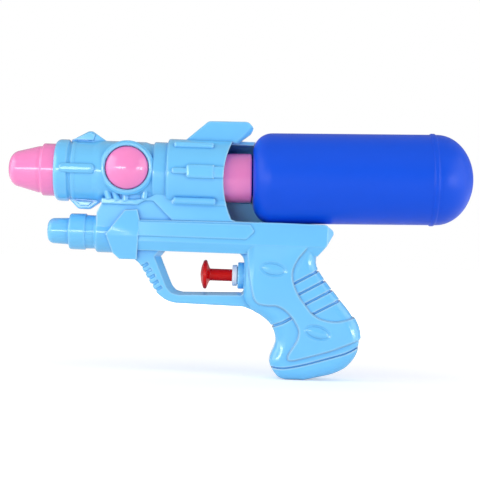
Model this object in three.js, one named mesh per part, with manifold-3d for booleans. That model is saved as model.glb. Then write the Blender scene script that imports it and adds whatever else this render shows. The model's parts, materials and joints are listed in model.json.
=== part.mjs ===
// A bottle-fed water squirter with a push-button trigger, in millimetres.
// X runs from the muzzle to the bottle, Z is up, and the two half shells meet at Y = 0.
import * as THREE from "three";
import { mergeVertices } from "three/addons/utils/BufferGeometryUtils.js";
import Module from "manifold-3d";

const wasm = await Module();
wasm.setup();

// Sizes that every piece shares
const WALL = 2.2; // shell wall
const CLEAR = 0.3; // gap between pieces that touch
const EDGE = 1; // bevel of the shells' outer edges
const ROUND = 24; // sides of a wide round
const FINE_ROUND = 12; // sides of a narrow round
const TURNED = 20; // sides of the pump and its moving pieces
const REACH = 300; // longer than the whole squirter, for cuts that run through

// Barrel of the shells, turned about the X axis at its own height
const BARREL_RISE = 1; // height of its axis over the bottle's
const MUZZLE_X = -107.4;
const LIP_WALL = 1.4; // around the nozzle's flange
const LIP_LENGTH = 7.9;
const LIP_EDGE = 2.5;
const GROOVE_WIDTH = 3.5;
const GROOVE_RADIUS = 16.6;
const BARREL_RADIUS = 17.1;
const FLARE_X = -83;
const FLARE_RADIUS = 17.8;
const BAND_X = -48.8;
const BAND_RADIUS = 18.1;
const SHROUD_X = -41;
const SHROUD_RADIUS = 20.3;
const SHROUD_END_X = 5.5; // the right shell's end, behind the left one's scalloped rim
const STEP = 2.5; // length of each slope between two radii
const RIM_X = -9.9; // deepest point of the left shell's rim
const RIM_DROP = 2; // how far that point lies under the barrel's axis
const RIM_SCALLOP = 55; // radius of the scallop
const RIM_FOOT_X = -2.1; // where the rim meets the rail

// Pink nozzle, held by its flange behind the lip
const NOZZLE_COLLAR_RADIUS = 15.2;
const NOZZLE_COLLAR_LENGTH = 7.5; // in front of the lip
const NOZZLE_STEP = 2;
const CONE_REAR_RADIUS = 13.5;
const CONE_FRONT_RADIUS = 10.6;
const CONE_LENGTH = 10.5;
const TIP_LENGTH = 6.9;
const NOZZLE_FLANGE = 1; // how far the flange stands out
const FLANGE_LENGTH = 2.2;
const LIP_WALL_LENGTH = 3.6; // from the lip's front to the flange
const NOZZLE_WALL = 2;
const JET_RADIUS = 2.9;
const JET_FLANGE_RADIUS = 6;
const JET_FLANGE_LENGTH = 2;
const JET_BORE = 0.8;
const BULKHEAD = 2.4;
const BULKHEAD_HOLE = 8;

// Soft hoses and the barbs that they push on to
const BARB_RADIUS = 2;
const BARB_BORE = 1.2;
const BARB_LENGTH = 8;
const HOSE_WALL = 0.7;
const HOSE_STEPS = 36;
const HOSE_SIDES = 8;

// Domes in their round bezels, one on each side
const DOME_X = -65;
const DOME_RISE = 2; // height over the barrel's axis
const DOME_RADIUS = 12.2;
const DOME_HEIGHT = 6;
const DOME_RIM = 3.5; // length of the dome's straight rim
const BEZEL_RADIUS = 15.5;
const BEZEL_EDGE = 1.5;
const BEZEL_Y = 18.3;
const DOME_SEAT_Y = 13.5; // depth at which the dome is seated
const DOME_SEAT_WALL = 2;

// Bottle, its neck and the collar, along the bottle's own slightly raised axis
const TANK_TILT = THREE.MathUtils.degToRad(1.5);
const COLLAR_RADIUS = 14.2;
const COLLAR_END = 6.2;
const COLLAR_WALL = 1.5;
const COLLAR_FLANGE = 1.4;
const COLLAR_FRONT = -13.6;
const COLLAR_FLOOR = -7.8;
const DIP_SPIGOT_END = 2;
const SEAL_LENGTH = 1.4;
const SEAL_OVERLAP = 0.6; // how far the seal reaches inside the neck's rim
const NECK_GAP = 2.1; // between the neck and the collar, for their threads
const NECK_WALL = 1.8;
const THREAD_PITCH = 4;
const THREAD_TURNS = 1.25;
const THREAD_HEIGHT = 1.4;
const THREAD_BASE = 1.8;
const THREAD_CREST = 1;
const THREAD_SIDES = 20; // steps in each turn
const NECK_THREAD_START = -4;
const COLLAR_THREAD_START = -2;
const BOTTLE_RADIUS = 26.2;
const BOTTLE_WALL = 1.4;
const SHOULDER_X = 7;
const SHOULDER_RADIUS = 11;
const BEAD_X = 109;
const BEAD_WIDTH = 3;
const BEAD_HEIGHT = 0.6;
const TAIL_X = 113;
const TAIL_LENGTH = 21.4;
const DIP_TUBE_END = 112;
const DIP_TUBE_DROP = 17;
const DIP_TUBE_STRAIGHT = 12; // straight stretch behind its spigot
const DIP_TUBE_STEPS = 12;

// Lower barrel and the angular block behind it
const LOWER_RISE = 9.3; // height of its axis over the rail's underside
const LOWER_TIP_X = -111;
const LOWER_TIP_RADIUS = 7.3;
const LOWER_COLLAR_X = -98;
const LOWER_COLLAR_RADIUS = 10.4;
const LOWER_COLLAR_LENGTH = 9.5;
const LOWER_RADIUS = 9.7;
const LOWER_STEP_X = -82.5;
const LOWER_STEP_RADIUS = 11.6;
const LOWER_END_X = -68;
const BLOCK_HALF = 14;
const WEB_HALF = 12;
const RAIL_HALF = 13;
const GUARD_HALF = 8;
const GRIP_HALF = 14;
const GRIP_EDGE = 4;
const FIN_HALF = 3;
const SMALL_FIN_HALF = 4;

// Pump, along the X axis at its own height, with its valves
const PUMP_Z = 58.6;
const TRIGGER_ROOM = 12.9; // from the pump's axis up to the rail
const RAIL_HEIGHT = 17.3;
const GRIP_FRONT_X = 3.4;
const BUTTON_X = -21.5;
const BUTTON_RADIUS = 8.45;
const BUTTON_CROWN = 2;
const BUTTON_THICKNESS = 3.6;
const BUTTON_FLARE = 2.6;
const ROD_RADIUS = 3.5;
const ROD_END_X = 8.3;
const STUD_RADIUS = 2.2;
const STUD_LENGTH = 3.7;
const BUSH_X = -3.1;
const BUSH_RADIUS = 6.1;
const BUSH_LENGTH = 2.9;
const BUSH_SPIGOT = 7.8; // length of the part inside the pump
const BOSS_RADIUS = 7.7;
const PUMP_BORE = 5.5;
const PUMP_WALL = 1.4;
const PUMP_LENGTH = 25.5;
const PUMP_END_WALL = 2;
const PUMP_FLANGE_RADIUS = 8.2;
const PUMP_FLANGE_LENGTH = 1.6;
const PISTON_LENGTH = 4;
const PISTON_GAP = 0.4; // between the piston and the bore
const SEAL_RING = 1.2; // width of the piston's seal
const SEAL_DEPTH = 1;
const SPRING_COILS = 5;
const SPRING_RADIUS = 3.9;
const SPRING_WIRE = 0.5;
const VALVE_PORT = 2.5;
const VALVE_SPIGOT_LENGTH = 2;
const VALVE_CHAMBER = 2.2;
const VALVE_CHAMBER_LENGTH = 4.4;
const VALVE_SEAT = 1.1; // radius of the hole that a ball closes
const VALVE_WALL = 1.4;
const VALVE_END = 0.9; // thickness of a chamber's end
const BALL_RADIUS = 1.7;
const BALL_GAP = 0.1;
const OUTLET_X = 26.3;
const OUTLET_STUB = 9; // height of the pump's outlet stub over its axis
const INTAKE_RISE = 13.5; // height of the inlet barb's top over the pump's axis
const SADDLES_X = [11, 20];
const SADDLE_THICKNESS = 2;
const SADDLE_HALF_HEIGHT = 11;

// Screws, driven from the right side
const SCREW_RADIUS = 1.3;
const SCREW_HEAD_RADIUS = 2.4;
const SCREW_HEAD_LENGTH = 2;
const SCREW_SEAT_Y = 5.2;
const SCREW_END_Y = -6;
const SCREW_BOSS_WALL = 1.8;

// Places that follow from the sizes above
const RAIL_Z = PUMP_Z + TRIGGER_ROOM; // the rail's underside
const RAIL_TOP_Z = RAIL_Z + RAIL_HEIGHT; // where the bottle lies on it
const LOWER_Z = RAIL_Z + LOWER_RISE;
const TANK_Z = RAIL_TOP_Z + BOTTLE_RADIUS;
const BARREL_Z = TANK_Z + BARREL_RISE;
const DOME_Z = BARREL_Z + DOME_RISE;
const RIM_Z = BARREL_Z - RIM_DROP;
const LIP_RADIUS = NOZZLE_COLLAR_RADIUS + NOZZLE_FLANGE + CLEAR + LIP_WALL;
const GROOVE_X = MUZZLE_X + LIP_LENGTH;
const NECK_RADIUS = COLLAR_RADIUS - COLLAR_WALL - NECK_GAP;
const SEAL_HOLE = NECK_RADIUS - NECK_WALL - SEAL_OVERLAP;
const HOSE_BORE = (BARB_RADIUS + CLEAR) / Math.cos(Math.PI / HOSE_SIDES); // at the section's corners
const HOSE_RADIUS = HOSE_BORE + HOSE_WALL;
const NOZZLE_REAR_X = MUZZLE_X + LIP_WALL_LENGTH + CLEAR + FLANGE_LENGTH;
const NOZZLE_TIP_X = MUZZLE_X - NOZZLE_COLLAR_LENGTH - NOZZLE_STEP - CONE_LENGTH - TIP_LENGTH;
const FRONT_BULKHEAD_X = NOZZLE_REAR_X + CLEAR;
const CAVITY_START_X = FRONT_BULKHEAD_X + BULKHEAD;
const REAR_BULKHEAD_X = COLLAR_FRONT - BULKHEAD;
const BUSH_SEAT_X = BUSH_X + BUSH_LENGTH;
const PUMP_X = GRIP_FRONT_X + WALL + CLEAR;
const PUMP_END_X = PUMP_X + PUMP_LENGTH;
const PISTON_X = ROD_END_X + CLEAR;
const NECK_END = COLLAR_FLOOR + SEAL_LENGTH + 2 * CLEAR;
const JET_REAR_X = NOZZLE_REAR_X + BARB_LENGTH / 2;
const VALVE_RADIUS = VALVE_CHAMBER + VALVE_WALL;
const SPRING_X = PISTON_X + PISTON_LENGTH + CLEAR;
const SPRING_END_X = PUMP_END_X - PUMP_END_WALL - CLEAR;

// The screws' points in X and Z
const SCREWS = {
  screw_barrel: [-89, BARREL_Z + 10.5],
  screw_band: [-45, BARREL_Z + 10.5],
  screw_block: [-66.5, LOWER_Z + 1.2],
  screw_guard: [-50, PUMP_Z + 1.9],
  screw_rail: [45.5, RAIL_Z + 9.5],
  screw_grip_upper: [31, 41],
  screw_grip_lower: [44, 14],
};

const plastic = (color) => new THREE.MeshStandardMaterial({ color, roughness: 0.3, metalness: 0 });
const SHELL_BLUE = plastic(0x7cccfd);
const PINK = plastic(0xfd9ad7);
const BOTTLE_BLUE = new THREE.MeshStandardMaterial({ color: 0x0049da, roughness: 0.5, metalness: 0 });
const RED = plastic(0xce0f10);
const WHITE = plastic(0xdee6f6);
const HOSE = new THREE.MeshStandardMaterial({ color: 0xe4ecef, roughness: 0.45, metalness: 0 });
const RUBBER = new THREE.MeshStandardMaterial({ color: 0x2b2b2e, roughness: 0.8, metalness: 0 });
const STEEL = new THREE.MeshStandardMaterial({ color: 0xb8bcc2, roughness: 0.35, metalness: 1 });

// Outlines in X and Z, some of them given over a height that they belong to
const points = (pairs) => pairs.map(([x, z]) => new THREE.Vector2(x, z));
const over = (base, pairs) => points(pairs.map(([x, z]) => [x, base + z]));
const curve = (corners, steps) => new THREE.SplineCurve(corners).getPoints(steps);

function arc(x, z, radius, from, to, steps) {
  return new THREE.EllipseCurve(x, z, radius, radius, from, to, to < from).getPoints(steps);
}

const GRIP_FRONT = [[9.1, 39], [14.6, 36], [20.2, 31], [23.2, 22], [19.9, 10.5], [24.4, 2.2], [29.5, 0]];
const GRIP_REAR = [[40, 0], [49.1, 2.2], [57.1, 4.4], [65, 9], [70.6, 17.8], [70.6, 29], [66.1, 38.6]];
const GRIP_OUTLINE = [
  ...over(RAIL_Z, [[GRIP_FRONT_X, 8.5]]),
  ...points([[GRIP_FRONT_X, 43]]),
  ...curve(points(GRIP_FRONT), 11),
  ...curve(points(GRIP_REAR), 10),
  ...curve(points([[58.7, 47.7], [50.1, 58.2], [45.2, 66], [45.2, 72]]), 5),
  ...over(RAIL_Z, [[47, 8.5]]),
];
const GUARD_OUTLINE = over(PUMP_Z, [
  [-61, 15.4], [-60.5, 7.9], [-56.7, 5.2], [-49.4, -6.7], [-45.7, -11.8], [-42.1, -14.6],
  [-38.6, -16.2], [-35.1, -16.9], [4, -17.6], [12, -20.6], [12, 15.4],
]);
const OPENING_CORNER = 5; // radius of the opening's upper rear corner
const OPENING_OUTLINE = [
  ...over(PUMP_Z, [[-45.5, 9.6], [-40.5, -2.1]]),
  ...curve(over(PUMP_Z, [[-38.3, -6.8], [-35.6, -9.6], [-31.5, -10.6]]), 4),
  ...over(PUMP_Z, [[GRIP_FRONT_X - 1.5, -10.6], [GRIP_FRONT_X, -9.1]]),
  ...arc(GRIP_FRONT_X - OPENING_CORNER, RAIL_Z - OPENING_CORNER, OPENING_CORNER, 0, Math.PI / 2, 4),
  ...over(RAIL_Z, [[-42.5, 0]]),
];
const RAIL_OUTLINE = [
  ...over(RAIL_TOP_Z, [[-61, 0], [23, 1], [49.1, 0.8], [54.6, -3.5], [50.8, -11.8]]),
  ...over(RAIL_Z, [[46, 0], [-61, 0]]),
];
const webOutline = (rearX) => [
  ...over(RAIL_TOP_Z, [[-81.3, -4.8], [-81.3, 3.2]]),
  ...over(BARREL_Z, [[-78.5, -16.5], [-78.5, -8], [rearX, -8]]),
  ...over(RAIL_TOP_Z, [[rearX, -4.8]]),
];
const BLOCK_OUTLINE = over(LOWER_Z, [
  [-76, -0.8], [-65.6, 13.2], [-58.4, 13.8], [-56.7, 7.4], [-58, -14.8], [-68, -14.9], [-72, -11.3],
]);
const FIN_OUTLINE = over(BARREL_Z, [
  [-34, 12], [-32.2, 20.3], [-19.7, 31.3], [3.2, 31.7], [6.6, 28.2], [4.9, 24.6], [-0.1, 20.6], [-8, 12],
]);
const TOP_FIN_OUTLINE = over(BARREL_Z, [
  [-98, 12], [-98.4, 17.4], [-88.5, 22.9], [-86.3, 22.9], [-78.4, 17.7], [-78, 12],
]);
const BOTTOM_FIN_OUTLINE = over(BARREL_Z, [
  [-98, -12], [-99, -16.9], [-93.3, -22], [-86.6, -22.1], [-80.6, -17.7], [-80, -12],
]);

// A closed three.js geometry as a solid, with its faces turned outwards
function solid(geometry) {
  const bare = geometry.index ? geometry.toNonIndexed() : geometry;
  const cloud = new THREE.BufferGeometry().setAttribute("position", bare.getAttribute("position"));
  const merged = mergeVertices(cloud, 1e-4);
  const corners = [];
  for (let i = 0; i < merged.index.count; i += 3) {
    const [a, b, c] = merged.index.array.slice(i, i + 3);
    if (a !== b && b !== c && c !== a) corners.push(a, b, c);
  }
  const build = (list) =>
    new wasm.Manifold(
      new wasm.Mesh({
        numProp: 3,
        vertProperties: merged.attributes.position.array,
        triVerts: new Uint32Array(list),
      }),
    );
  const made = build(corners);
  return made.volume() < 0 ? build(corners.reverse()) : made;
}

function join(...solids) {
  return solids.reduce((all, next) => all.add(next));
}

function mesh(name, made, material) {
  const data = made.getMesh();
  const geometry = new THREE.BufferGeometry()
    .setAttribute("position", new THREE.BufferAttribute(data.vertProperties, 3))
    .setIndex(new THREE.BufferAttribute(data.triVerts, 1));
  geometry.computeVertexNormals();
  const piece = new THREE.Mesh(geometry, material);
  piece.name = name;
  return piece;
}

// Turned shapes: pairs of a place along the axis and a radius
function turnedY(profile, sides = ROUND) {
  return new THREE.LatheGeometry(points(profile.map(([along, radius]) => [radius, along])), sides);
}

function turnedX(profile, sides = ROUND) {
  return turnedY(profile, sides).rotateZ(-Math.PI / 2);
}

function turnedZ(profile, sides = ROUND) {
  return turnedY(profile, sides).rotateX(Math.PI / 2);
}

const loop = (profile) => [...profile, profile[0]];

// A full cylinder's profile
function rod(from, to, radius) {
  return [[from, 0], [from, radius], [to, radius], [to, 0]];
}

// A tube's profile
function sleeve(from, to, radius, bore) {
  return loop([[from, bore], [from, radius], [to, radius], [to, bore]]);
}

// A flat shape: an outline in X and Z that reaches half its width to each side of Y = 0
function plate(outline, half) {
  const settings = { depth: 2 * half, bevelEnabled: false };
  const geometry = new THREE.ExtrudeGeometry(new THREE.Shape(outline), settings);
  return geometry.rotateX(Math.PI / 2).translate(0, half, 0);
}

// The same with round edges: rings of the outline, drawn in towards both faces
function pillow(outline, half, edge, steps = 2) {
  const anticlockwise = THREE.ShapeUtils.isClockWise(outline) ? [...outline].reverse() : outline;
  const rings = [];
  for (let i = 0; i <= steps; i++) {
    const angle = (Math.PI / 2) * (i / steps);
    const drawn = inset(anticlockwise, edge * (1 - Math.cos(angle)));
    const y = half - edge * (1 - Math.sin(angle));
    rings.unshift(drawn.map((corner) => [corner.x, -y, corner.y]));
    rings.push(drawn.map((corner) => [corner.x, y, corner.y]));
  }
  const triangles = [];
  rings.slice(1).forEach((ring, i) => {
    ring.forEach((corner, k) => {
      const next = (k + 1) % ring.length;
      triangles.push(rings[i][k], corner, ring[next], rings[i][k], ring[next], rings[i][next]);
    });
  });
  const [front, back] = [rings[0], rings.at(-1)];
  for (const [a, b, c] of THREE.ShapeUtils.triangulateShape(inset(anticlockwise, edge), [])) {
    triangles.push(front[a], front[b], front[c], back[a], back[c], back[b]);
  }
  return faces(triangles);
}

// A geometry from a list of triangle corners
function faces(corners) {
  const position = new THREE.Float32BufferAttribute(corners.flat(), 3);
  return new THREE.BufferGeometry().setAttribute("position", position);
}

// The outline moved inwards, corner by corner
function inset(outline, distance) {
  const side = Math.sign(THREE.ShapeUtils.area(outline));
  return outline.map((corner, i) => {
    const before = outline.at(i - 1);
    const after = outline[(i + 1) % outline.length];
    const into = corner.clone().sub(before).normalize();
    const outOf = after.clone().sub(corner).normalize();
    const normals = new THREE.Vector2(-into.y - outOf.y, into.x + outOf.x);
    return corner.clone().addScaledVector(normals, (2 * side * distance) / normals.lengthSq());
  });
}

// A hose of one bore along points chosen by hand
function hose(route, steps = HOSE_STEPS) {
  const section = new THREE.Shape().absarc(0, 0, HOSE_RADIUS, 0, 2 * Math.PI);
  section.holes.push(new THREE.Path().absarc(0, 0, HOSE_BORE, 0, 2 * Math.PI));
  const extrudePath = new THREE.CatmullRomCurve3(route.map((place) => new THREE.Vector3(...place)));
  return new THREE.ExtrudeGeometry(section, { steps, curveSegments: HOSE_SIDES / 2, extrudePath });
}

// A screw thread's rib about the X axis, from its root radius to its crest radius
function thread(start, root, crest) {
  const steps = Math.round(THREAD_TURNS * THREAD_SIDES);
  const section = [
    [-THREAD_BASE / 2, root],
    [-THREAD_CREST / 2, crest],
    [THREAD_CREST / 2, crest],
    [THREAD_BASE / 2, root],
  ];
  const corner = (step, k) => {
    const angle = (2 * Math.PI * THREAD_TURNS * step) / steps;
    const [along, radius] = section[k % 4];
    const x = start + along + (THREAD_PITCH * angle) / (2 * Math.PI);
    return [x, radius * Math.cos(angle), radius * Math.sin(angle)];
  };
  const triangles = [];
  for (let step = 0; step < steps; step++) {
    for (let k = 0; k < 4; k++) {
      const [a, b] = [corner(step, k), corner(step, k + 1)];
      const [c, d] = [corner(step + 1, k), corner(step + 1, k + 1)];
      triangles.push(a, c, b, b, c, d);
    }
  }
  for (const k of [0, 2]) {
    triangles.push(corner(0, k), corner(0, k + 1), corner(0, k + 2));
    triangles.push(corner(steps, k), corner(steps, k + 2), corner(steps, k + 1));
  }
  return faces(triangles);
}

// The shells' barrel, from the lip to the shroud
function barrel() {
  return turnedX([
    [MUZZLE_X, 0],
    [MUZZLE_X, LIP_RADIUS - LIP_EDGE],
    [MUZZLE_X + LIP_EDGE / 3, LIP_RADIUS - LIP_EDGE / 3],
    [MUZZLE_X + LIP_EDGE, LIP_RADIUS],
    [GROOVE_X, LIP_RADIUS],
    [GROOVE_X + GROOVE_WIDTH / 2, GROOVE_RADIUS],
    [GROOVE_X + GROOVE_WIDTH, BARREL_RADIUS],
    [FLARE_X, BARREL_RADIUS],
    [FLARE_X + STEP, FLARE_RADIUS],
    [BAND_X, FLARE_RADIUS],
    [BAND_X + STEP, BAND_RADIUS],
    [SHROUD_X, BAND_RADIUS],
    [SHROUD_X + STEP, SHROUD_RADIUS],
    [SHROUD_END_X, SHROUD_RADIUS],
    [SHROUD_END_X, 0],
  ]).translate(0, 0, BARREL_Z);
}

function barrelCavity() {
  return turnedX([
    [CAVITY_START_X, 0],
    [CAVITY_START_X, GROOVE_RADIUS - WALL],
    [SHROUD_X + STEP, BARREL_RADIUS - WALL],
    [SHROUD_X + 2 * STEP, SHROUD_RADIUS - WALL],
    [REAR_BULKHEAD_X, SHROUD_RADIUS - WALL],
    [REAR_BULKHEAD_X, 0],
  ]).translate(0, 0, BARREL_Z);
}

function lowerBarrel(thinner) {
  return turnedX([
    [LOWER_TIP_X + thinner, 0],
    [LOWER_TIP_X + thinner, (LOWER_TIP_RADIUS - thinner) / 2],
    [LOWER_TIP_X + LOWER_TIP_RADIUS / 2, LOWER_TIP_RADIUS - thinner],
    [LOWER_COLLAR_X + thinner, LOWER_TIP_RADIUS - thinner],
    [LOWER_COLLAR_X + thinner, LOWER_COLLAR_RADIUS - EDGE - thinner],
    [LOWER_COLLAR_X + thinner + EDGE, LOWER_COLLAR_RADIUS - thinner],
    [LOWER_COLLAR_X + LOWER_COLLAR_LENGTH - thinner, LOWER_COLLAR_RADIUS - thinner],
    [LOWER_COLLAR_X + LOWER_COLLAR_LENGTH, LOWER_RADIUS - thinner],
    [LOWER_STEP_X + thinner, LOWER_RADIUS - thinner],
    [LOWER_STEP_X + thinner + EDGE, LOWER_STEP_RADIUS - thinner],
    [LOWER_END_X, LOWER_STEP_RADIUS - thinner],
    [LOWER_END_X, 0],
  ], FINE_ROUND).translate(0, 0, LOWER_Z);
}

// A cylinder across the shells at a point in X and Z
function across(x, z, from, to, radius, sides = FINE_ROUND) {
  return solid(turnedY(rod(from, to, radius), sides).translate(x, 0, z));
}

// A cylinder that stands up at a place in X
function upright(x, from, to, radius) {
  return solid(turnedZ(rod(from, to, radius), FINE_ROUND).translate(x, 0, 0));
}

function bezel(side) {
  const profile = [
    [0, 0],
    [0, BEZEL_RADIUS],
    [BEZEL_Y - BEZEL_EDGE, BEZEL_RADIUS],
    [BEZEL_Y, BEZEL_RADIUS - BEZEL_EDGE],
    [BEZEL_Y, 0],
  ].map(([along, radius]) => [side * along, radius]);
  return solid(turnedY(profile).translate(DOME_X, 0, DOME_Z));
}

// The bottle's own frame, whose X axis is the bottle's axis
const tank = new THREE.Group();
tank.position.z = TANK_Z;
tank.rotation.y = -TANK_TILT;
tank.updateMatrix();
const inTank = (profile) => solid(turnedX(profile).applyMatrix4(tank.matrix));

// The whole outside of the body before it is hollowed and split
function bodyOutside() {
  const frame = join(
    solid(pillow(GUARD_OUTLINE, GUARD_HALF, EDGE, 1)),
    solid(pillow(RAIL_OUTLINE, RAIL_HALF, EDGE, 1)),
    solid(pillow(BLOCK_OUTLINE, BLOCK_HALF, EDGE, 1)),
    solid(pillow(GRIP_OUTLINE, GRIP_HALF, GRIP_EDGE)),
  ).subtract(solid(plate(OPENING_OUTLINE, REACH)));
  return join(
    frame,
    solid(barrel()),
    solid(plate(webOutline(SHROUD_END_X), WEB_HALF)),
    solid(lowerBarrel(0)),
    solid(pillow(FIN_OUTLINE, FIN_HALF, EDGE, 1)),
    solid(pillow(TOP_FIN_OUTLINE, SMALL_FIN_HALF, EDGE, 1)),
    solid(pillow(BOTTOM_FIN_OUTLINE, SMALL_FIN_HALF, EDGE, 1)),
    bezel(1),
    bezel(-1),
    solid(turnedX(rod(BUSH_SEAT_X + CLEAR, PUMP_X, BOSS_RADIUS)).translate(0, 0, PUMP_Z)),
  );
}

function bodyCavity() {
  const hollow = (outline, half) => solid(plate(inset(outline, WALL), half - WALL));
  const troughWall = inTank(rod(COLLAR_END, REACH, BOTTLE_RADIUS + CLEAR + WALL));
  const seats = [1, -1].map((side) =>
    across(DOME_X, DOME_Z, side * (DOME_SEAT_Y - DOME_SEAT_WALL), side * REACH, BEZEL_RADIUS, ROUND),
  );
  return join(
    solid(barrelCavity()),
    solid(lowerBarrel(WALL)),
    hollow(webOutline(SHROUD_END_X + 2 * WALL), WEB_HALF),
    hollow(RAIL_OUTLINE, RAIL_HALF),
    hollow(BLOCK_OUTLINE, BLOCK_HALF),
    solid(pillow(inset(GRIP_OUTLINE, WALL), GRIP_HALF - WALL, GRIP_EDGE - WALL, 1)),
  )
    .subtract(troughWall)
    .subtract(join(...seats));
}

// Ribs that carry the pump, and the bosses that the screws join
function bodySupports() {
  const saddles = SADDLES_X.map((x) => {
    const [low, high] = [PUMP_Z - SADDLE_HALF_HEIGHT, PUMP_Z + SADDLE_HALF_HEIGHT];
    const [front, rear] = [x - SADDLE_THICKNESS / 2, x + SADDLE_THICKNESS / 2];
    return solid(plate(points([[front, low], [rear, low], [rear, high], [front, high]]), GRIP_HALF));
  });
  const bossRadius = SCREW_HEAD_RADIUS + CLEAR + SCREW_BOSS_WALL;
  const bosses = Object.values(SCREWS).map(([x, z]) => across(x, z, -REACH, REACH, bossRadius));
  return join(...saddles, ...bosses);
}

// Seats and holes for everything that the shells hold
function bodyCuts() {
  const flange = NOZZLE_COLLAR_RADIUS + NOZZLE_FLANGE + CLEAR;
  const nozzleSeat = turnedX([
    [MUZZLE_X - REACH, 0],
    [MUZZLE_X - REACH, NOZZLE_COLLAR_RADIUS + CLEAR],
    [MUZZLE_X + LIP_WALL_LENGTH, NOZZLE_COLLAR_RADIUS + CLEAR],
    [MUZZLE_X + LIP_WALL_LENGTH, flange],
    [FRONT_BULKHEAD_X, flange],
    [FRONT_BULKHEAD_X, BULKHEAD_HOLE],
    [CAVITY_START_X + CLEAR, BULKHEAD_HOLE],
    [CAVITY_START_X + CLEAR, 0],
  ]).translate(0, 0, BARREL_Z);
  const domeHoles = [1, -1].map((side) =>
    across(DOME_X, DOME_Z, side * DOME_SEAT_Y, side * REACH, DOME_RADIUS + CLEAR, ROUND),
  );
  const collarFlangeEnd = COLLAR_FRONT + BULKHEAD;
  const cup = rod(collarFlangeEnd + WALL, REACH, SHROUD_RADIUS - WALL);
  const screwHoles = Object.values(SCREWS).flatMap(([x, z]) => [
    across(x, z, SCREW_END_Y - CLEAR, SCREW_SEAT_Y, SCREW_RADIUS + CLEAR),
    across(x, z, SCREW_SEAT_Y, REACH, SCREW_HEAD_RADIUS + CLEAR),
  ]);
  const shroudBand = turnedX(rod(SHROUD_X, SHROUD_END_X + STEP, SHROUD_RADIUS - WALL));
  return join(
    solid(nozzleSeat),
    ...domeHoles,
    inTank(rod(COLLAR_FRONT - CLEAR, collarFlangeEnd, COLLAR_RADIUS + COLLAR_FLANGE + CLEAR)),
    inTank(rod(REAR_BULKHEAD_X - BULKHEAD, COLLAR_FRONT, HOSE_RADIUS + CLEAR)),
    inTank(rod(COLLAR_FRONT, REACH, COLLAR_RADIUS + CLEAR)),
    inTank(rod(COLLAR_END - CLEAR, REACH, BOTTLE_RADIUS + CLEAR)),
    inTank(cup).intersect(solid(shroudBand.translate(0, 0, BARREL_Z))),
    solid(turnedX(rod(BUSH_SEAT_X, PUMP_X, PUMP_BORE)).translate(0, 0, PUMP_Z)),
    solid(turnedX(rod(PUMP_X - CLEAR, PUMP_END_X, PUMP_BORE + PUMP_WALL + CLEAR)).translate(0, 0, PUMP_Z)),
    ...screwHoles,
  );
}

// What the left shell leaves open behind its rim, so that the collar shows
function rimCut() {
  const reach = Math.asin((SHROUD_RADIUS + WALL) / RIM_SCALLOP);
  const outline = [
    ...arc(RIM_X + RIM_SCALLOP, RIM_Z, RIM_SCALLOP, Math.PI - reach, Math.PI + reach, 6),
    ...over(RAIL_TOP_Z, [[RIM_FOOT_X, 1], [REACH, 1]]),
    ...points([[REACH, RIM_Z + SHROUD_RADIUS + WALL]]),
  ];
  return solid(plate(outline, REACH)).subtract(solid(plate(FIN_OUTLINE, FIN_HALF)));
}

function shells() {
  const outside = bodyOutside();
  const body = outside
    .subtract(bodyCavity())
    .add(outside.intersect(bodySupports()))
    .subtract(bodyCuts());
  const halfSpace = (side) =>
    solid(
      new THREE.BoxGeometry(2 * REACH, REACH, 2 * REACH).translate(0, (side * (REACH + CLEAR)) / 2, 0),
    );
  return [
    mesh("left_shell", body.intersect(halfSpace(-1)).subtract(rimCut()), SHELL_BLUE),
    mesh("right_shell", body.intersect(halfSpace(1)), SHELL_BLUE),
  ];
}

function nozzle() {
  const coneRear = MUZZLE_X - NOZZLE_COLLAR_LENGTH - NOZZLE_STEP;
  const coneFront = coneRear - CONE_LENGTH;
  const flange = NOZZLE_COLLAR_RADIUS + NOZZLE_FLANGE;
  const jetHole = JET_RADIUS + CLEAR;
  const tip = turnedX(loop([
    [NOZZLE_TIP_X, jetHole],
    [NOZZLE_TIP_X, CONE_FRONT_RADIUS / 2],
    [NOZZLE_TIP_X + TIP_LENGTH / 3, CONE_FRONT_RADIUS - TIP_LENGTH / 3],
    [coneFront, CONE_FRONT_RADIUS],
    [coneRear, CONE_REAR_RADIUS],
    [coneRear + NOZZLE_STEP, NOZZLE_COLLAR_RADIUS],
    [MUZZLE_X + LIP_WALL_LENGTH + CLEAR, NOZZLE_COLLAR_RADIUS],
    [MUZZLE_X + LIP_WALL_LENGTH + CLEAR, flange],
    [NOZZLE_REAR_X, flange],
    [NOZZLE_REAR_X, CONE_REAR_RADIUS - NOZZLE_WALL],
    [coneRear, CONE_REAR_RADIUS - NOZZLE_WALL],
    [coneFront, CONE_FRONT_RADIUS - NOZZLE_WALL],
    [coneFront, jetHole],
  ])).translate(0, 0, BARREL_Z);
  const jetSeat = coneFront + CLEAR;
  const jet = turnedX(loop([
    [NOZZLE_TIP_X + CLEAR, JET_BORE],
    [NOZZLE_TIP_X + CLEAR, JET_RADIUS],
    [jetSeat, JET_RADIUS],
    [jetSeat, JET_FLANGE_RADIUS],
    [jetSeat + JET_FLANGE_LENGTH, JET_FLANGE_RADIUS],
    [jetSeat + JET_FLANGE_LENGTH, BARB_RADIUS],
    [JET_REAR_X, BARB_RADIUS],
    [JET_REAR_X, BARB_BORE],
    [coneFront, BARB_BORE],
  ]), FINE_ROUND).translate(0, 0, BARREL_Z);
  return [mesh("nozzle_tip", solid(tip), PINK), mesh("nozzle_jet", solid(jet), WHITE)];
}

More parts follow.
